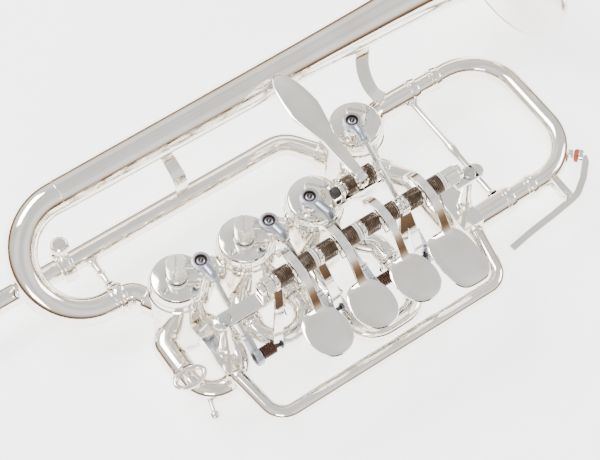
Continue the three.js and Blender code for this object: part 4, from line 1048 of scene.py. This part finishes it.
class TRUMPET_OT_key_frame(bpy.types.Operator):
    """Hinge rod with knurled sleeves, bars, bar screws, stands and the bent rod that the hand holds"""

    bl_idname = "trumpet.key_frame"
    bl_label = "Key frame"

    def execute(self, context):
        ribs = sizes().knurl_ribs
        edge = sizes().edge
        bm = bmesh.new()
        disc(bm, HINGE, X, 2, ROD_FROM, ROD_TO, 0.2, 40)
        for start, end in ((ROD_FROM, key_x(0) - HUB_BEFORE - 0.3), (key_x(3) + HUB_AFTER + 0.3, ROD_TO)):
            knurled(bm, HINGE, X, 4.1, 3.8, start + 0.3, end - 0.3, ribs)
            ring(bm, HINGE, X, 1.9, 3.9, start, start + 0.4, 0.1)
            ring(bm, HINGE, X, 1.9, 3.9, end - 0.4, end, 0.1)
        finish_piece(bm, "Hinge_rod", "Satin silver", "hinge_rod", ["hinge_rod"], slot="satin_silver")
        for side, inner, outer, pillar_x, base_x, base_width in (
            ("left", 24.5, -1.2, 4, 0.4, 7), ("right", 126.2, 139.8, 132.5, 130, 11),
        ):
            rod_bar(side, inner, outer, edge)
            bm = bmesh.new()
            turn(bm, [
                (0, BAR_LOW + 0.1), (1.7, BAR_LOW + 0.1), (1.7, BAR_TOP + 0.1), (3.1, BAR_TOP + 0.1),
                (3.1, BAR_TOP + 0.5), (2.8, BAR_TOP + 0.7), (0, BAR_TOP + 0.7),
            ], at(pillar_x, BAR_Y, 0))
            half_heads(bm, at(pillar_x, BAR_Y, 0), Z, 2.7, BAR_TOP + 0.6, BAR_TOP + 1.25, at(0.5, 0.86, 0), 0.35)
            finish_piece(
                bm, f"Bar_screw_{side}", "Bright steel", f"bar_screw_{side}", [f"bar_screw_{side}"], slot="steel",
                bevel=0.0001,
            )
            frame_stand(side, pillar_x, base_x, base_width)
        hand_frame()
        return {"FINISHED"}


def thumb_paddle():
    centre_y, half_length, level = 32, 25, 12.4
    narrow, broad, widens_from, widens_over = 3.6, 7.5, 12, 22

    def outline(a, b, share):
        y = centre_y + b * half_length * share
        wide = narrow + (broad - narrow) * min(max((y - widens_from) / widens_over, 0), 1) ** 0.9
        return THUMB_X + a * wide * share, y

    bm = bmesh.new()
    heights = [(0.94, -0.95), (0.99, -0.4), (1, 0.2), (0.97, 0.7), (0.88, 0.93), (0.5, 1.02)]
    loft(bm, [(share, level + z) for share, z in heights], 64, outline)
    finish_piece(bm, "Thumb_paddle", "Silver plate", "thumb_key")


class TRUMPET_OT_thumb(bpy.types.Operator):
    """Thumb paddle with its stand and its rubber bumper"""

    bl_idname = "trumpet.thumb"
    bl_label = "Thumb paddle"

    def execute(self, context):
        edge = sizes().edge
        hub = at(0, THUMB_Y, THUMB_Z)
        bm = bmesh.new()
        ring(bm, hub, X, 1.8, 2.9, 80.7, 97.1, 0.3)
        ring(bm, hub, X, 1.8, 4.1, THUMB_X - 2, THUMB_X + 2, 0.4)
        neck = [(-11.2, 11.8), (-9, 13), (-5, 13.1), (0, 12.6), (8, 12.4), (16, 12.4)]
        sweep(bm, [at(THUMB_X, y, z) for y, z in neck], [4, 4.6, 5, 5.6, 6.4, 7], [1.8] * 6, side=X)
        plated(bm, "Thumb_key", "thumb_key", bevel=edge)
        thumb_paddle()
        bm = bmesh.new()
        for x in (78, 97.4):
            disc(bm, hub, X, 2.4, x, x + 2.4, 0.3)
            block(bm, at(x, THUMB_Y - 2.4, 1.6), at(x + 2.4, THUMB_Y + 2.4, THUMB_Z))
        block(bm, at(76, THUMB_Y - 2.4, 1.6), at(99.8, THUMB_Y + 2.4, 3.6))
        disc(bm, at(79, THUMB_Y + 2, 0), Z, 2.6, 0.3, 3.1, 0.2)
        disc(bm, hub, X, 1.5, 77.9, 99.9, 0.2)
        plated(bm, "Thumb_stand", "thumb_stand", bevel=edge)
        bm = bmesh.new()
        ring(bm, hub, X, 0.9, 2.6, 74.5, 77.7, 0.5)
        disc(bm, hub, X, 1.3, 74.6, 77.8, 0.1)
        finish_piece(bm, "Thumb_bumper", "Bumper rubber", "thumb_bumper", ["thumb_bumper"], slot="black_rubber")
        return {"FINISHED"}


class TRUMPET_OT_straps(bpy.types.Operator):
    """Bent straps that hold the bell over the leadpipe and over the front loop"""

    bl_idname = "trumpet.straps"
    bl_label = "Bell straps"

    def execute(self, context):
        for name, node, points in (
            ("Bell_strap", "strap_bell", [
                (33, 64, -13.1), (33, 61, -13.5), (33, 57.6, -14.6), (33, 53.6, -16.8), (33, 51.4, -19.6),
                (33, 50.6, -23), (33, 50.9, -26.6), (33, LEAD_Y, -28.3),
            ]),
            ("Front_strap", "strap_front", [
                (144, 64, -14.8), (141.4, 61, -15.5), (138, 57, -16.9), (135.6, 51, -19.2), (135.2, 46, -21.6),
                (136, 42.6, -23.8), (139, FRONT_UPPER, -26.1),
            ]),
        ):
            bm = bmesh.new()
            count = len(points)
            widths = [6 + 0.8 * math.sin(math.pi * i / (count - 1)) for i in range(count)]
            sweep(bm, [at(*point) for point in points], widths, [1.4] * count, side=X)
            plated(bm, name, node, bevel=0.0003, subdivide=1)
        return {"FINISHED"}


def studio_sky(context, look):
    world = bpy.data.worlds.new("Studio")
    world.use_nodes = True
    tree = world.node_tree
    place = add_node(tree, "TexCoord", "Generated")
    ramp = tree.nodes.new("ShaderNodeValToRGB")
    feed(tree, ramp.inputs["Fac"], add_node(tree, "SeparateXYZ", "Z", Vector=place))
    ramp.color_ramp.elements[0].position = 0.0
    ramp.color_ramp.elements[0].color = (0.07, 0.042, 0.026, 1)
    ramp.color_ramp.elements[1].position = 0.5
    ramp.color_ramp.elements[1].color = (1, 1, 1, 1)
    for height, tone in ((0.2, (0.25, 0.155, 0.09, 1)), (0.36, (0.88, 0.74, 0.6, 1))):
        ramp.color_ramp.elements.new(height).color = tone
    patches = add_node(tree, "TexNoise", "Fac", Vector=place, Scale=1.6, Detail=1)
    depth = add_node(tree, "MapRange", "Result", Value=patches, From_Min=0.36, From_Max=0.6, To_Min=0.7)
    backdrop = tree.nodes["Background"]
    feed(tree, backdrop.inputs["Color"], mix(tree, 1, ramp.outputs["Color"], depth, "MULTIPLY"))
    feed(tree, backdrop.inputs["Strength"], look.sky)
    context.scene.world = world


def stage_camera(context, look):
    lens = bpy.data.cameras.new("Camera")
    lens.lens = look.lens
    lens.sensor_width = 36
    lens.clip_start = 0.05
    camera = add_object("Camera", lens)
    target = HOME + at(*VIEW_TARGET) * MM
    back = Vector(VIEW_BACK).normalized()
    camera.location = target + back * VIEW_DISTANCE * MM
    camera.rotation_euler = (-back).to_track_quat("-Z", "Y").to_euler()
    context.scene.camera = camera


class TRUMPET_OT_stage(bpy.types.Operator):
    """Pale floor, soft lights and the camera"""

    bl_idname = "trumpet.stage"
    bl_label = "Stage"

    def execute(self, context):
        look = context.scene.trumpet_stage
        bm = bmesh.new()
        bmesh.ops.create_grid(bm, x_segments=1, y_segments=1, size=4)
        mesh = bpy.data.meshes.new("Floor")
        bm.to_mesh(mesh)
        bm.free()
        floor = add_object("Floor", mesh)
        paint = material("Floor paint", look.floor, 0, 0.6, look.floor, 0.1, grain=0.02, scale=6)
        shader = paint.node_tree.nodes["Principled BSDF"]
        shader.inputs["Emission Color"].default_value = look.floor
        shader.inputs["Emission Strength"].default_value = look.glow
        mesh.materials.append(paint)
        for name, place, aim, size, power in (
            ("Key light", (-0.5, 0.9, 1.5), (0, 0, 0), 1.1, look.key_power),
            ("Side light", (1.3, -0.4, 0.9), (0, 0, 0.05), 0.8, look.fill_power),
            ("Front light", (-1.0, -1.1, 0.8), (0, 0, 0.05), 0.6, look.fill_power),
        ):
            lamp = bpy.data.lights.new(name, "AREA")
            lamp.shape = "RECTANGLE"
            lamp.size = size
            lamp.size_y = size * 0.6
            lamp.energy = power
            light = add_object(name, lamp)
            light.location = place
            light.rotation_euler = (Vector(aim) - Vector(place)).to_track_quat("-Z", "Y").to_euler()
        studio_sky(context, look)
        stage_camera(context, look)
        return {"FINISHED"}


OPERATORS = (
    TRUMPET_OT_stage, TRUMPET_OT_valves, TRUMPET_OT_stop_arms, TRUMPET_OT_bell, TRUMPET_OT_leadpipe,
    TRUMPET_OT_slides, TRUMPET_OT_front_loop, TRUMPET_OT_keys, TRUMPET_OT_springs, TRUMPET_OT_links,
    TRUMPET_OT_key_frame, TRUMPET_OT_thumb, TRUMPET_OT_straps,
)


class TRUMPET_PT_panel(bpy.types.Panel):
    """The trumpet's sizes, finishes, stage and pieces"""

    bl_idname = "TRUMPET_PT_panel"
    bl_label = "Rotary trumpet"
    bl_space_type = "VIEW_3D"
    bl_region_type = "UI"
    bl_category = "Trumpet"

    def draw(self, context):
        column = self.layout.column()
        for group in (context.scene.trumpet_sizes, context.scene.trumpet_finish, context.scene.trumpet_stage):
            for field in group.__annotations__:
                column.prop(group, field)
        for operator in OPERATORS:
            column.operator(operator.bl_idname)


CLASSES = (TrumpetSizes, TrumpetFinish, TrumpetStage, *OPERATORS, TRUMPET_PT_panel)


def register():
    for item in CLASSES:
        bpy.utils.register_class(item)
    bpy.types.Scene.trumpet_sizes = PointerProperty(type=TrumpetSizes)
    bpy.types.Scene.trumpet_finish = PointerProperty(type=TrumpetFinish)
    bpy.types.Scene.trumpet_stage = PointerProperty(type=TrumpetStage)


def unregister():
    del bpy.types.Scene.trumpet_stage
    del bpy.types.Scene.trumpet_finish
    del bpy.types.Scene.trumpet_sizes
    for item in reversed(CLASSES):
        bpy.utils.unregister_class(item)


def main():
    register()
    for operator in OPERATORS:
        group, action = operator.bl_idname.split(".")
        getattr(getattr(bpy.ops, group), action)()


if __name__ == "__main__":
    main()
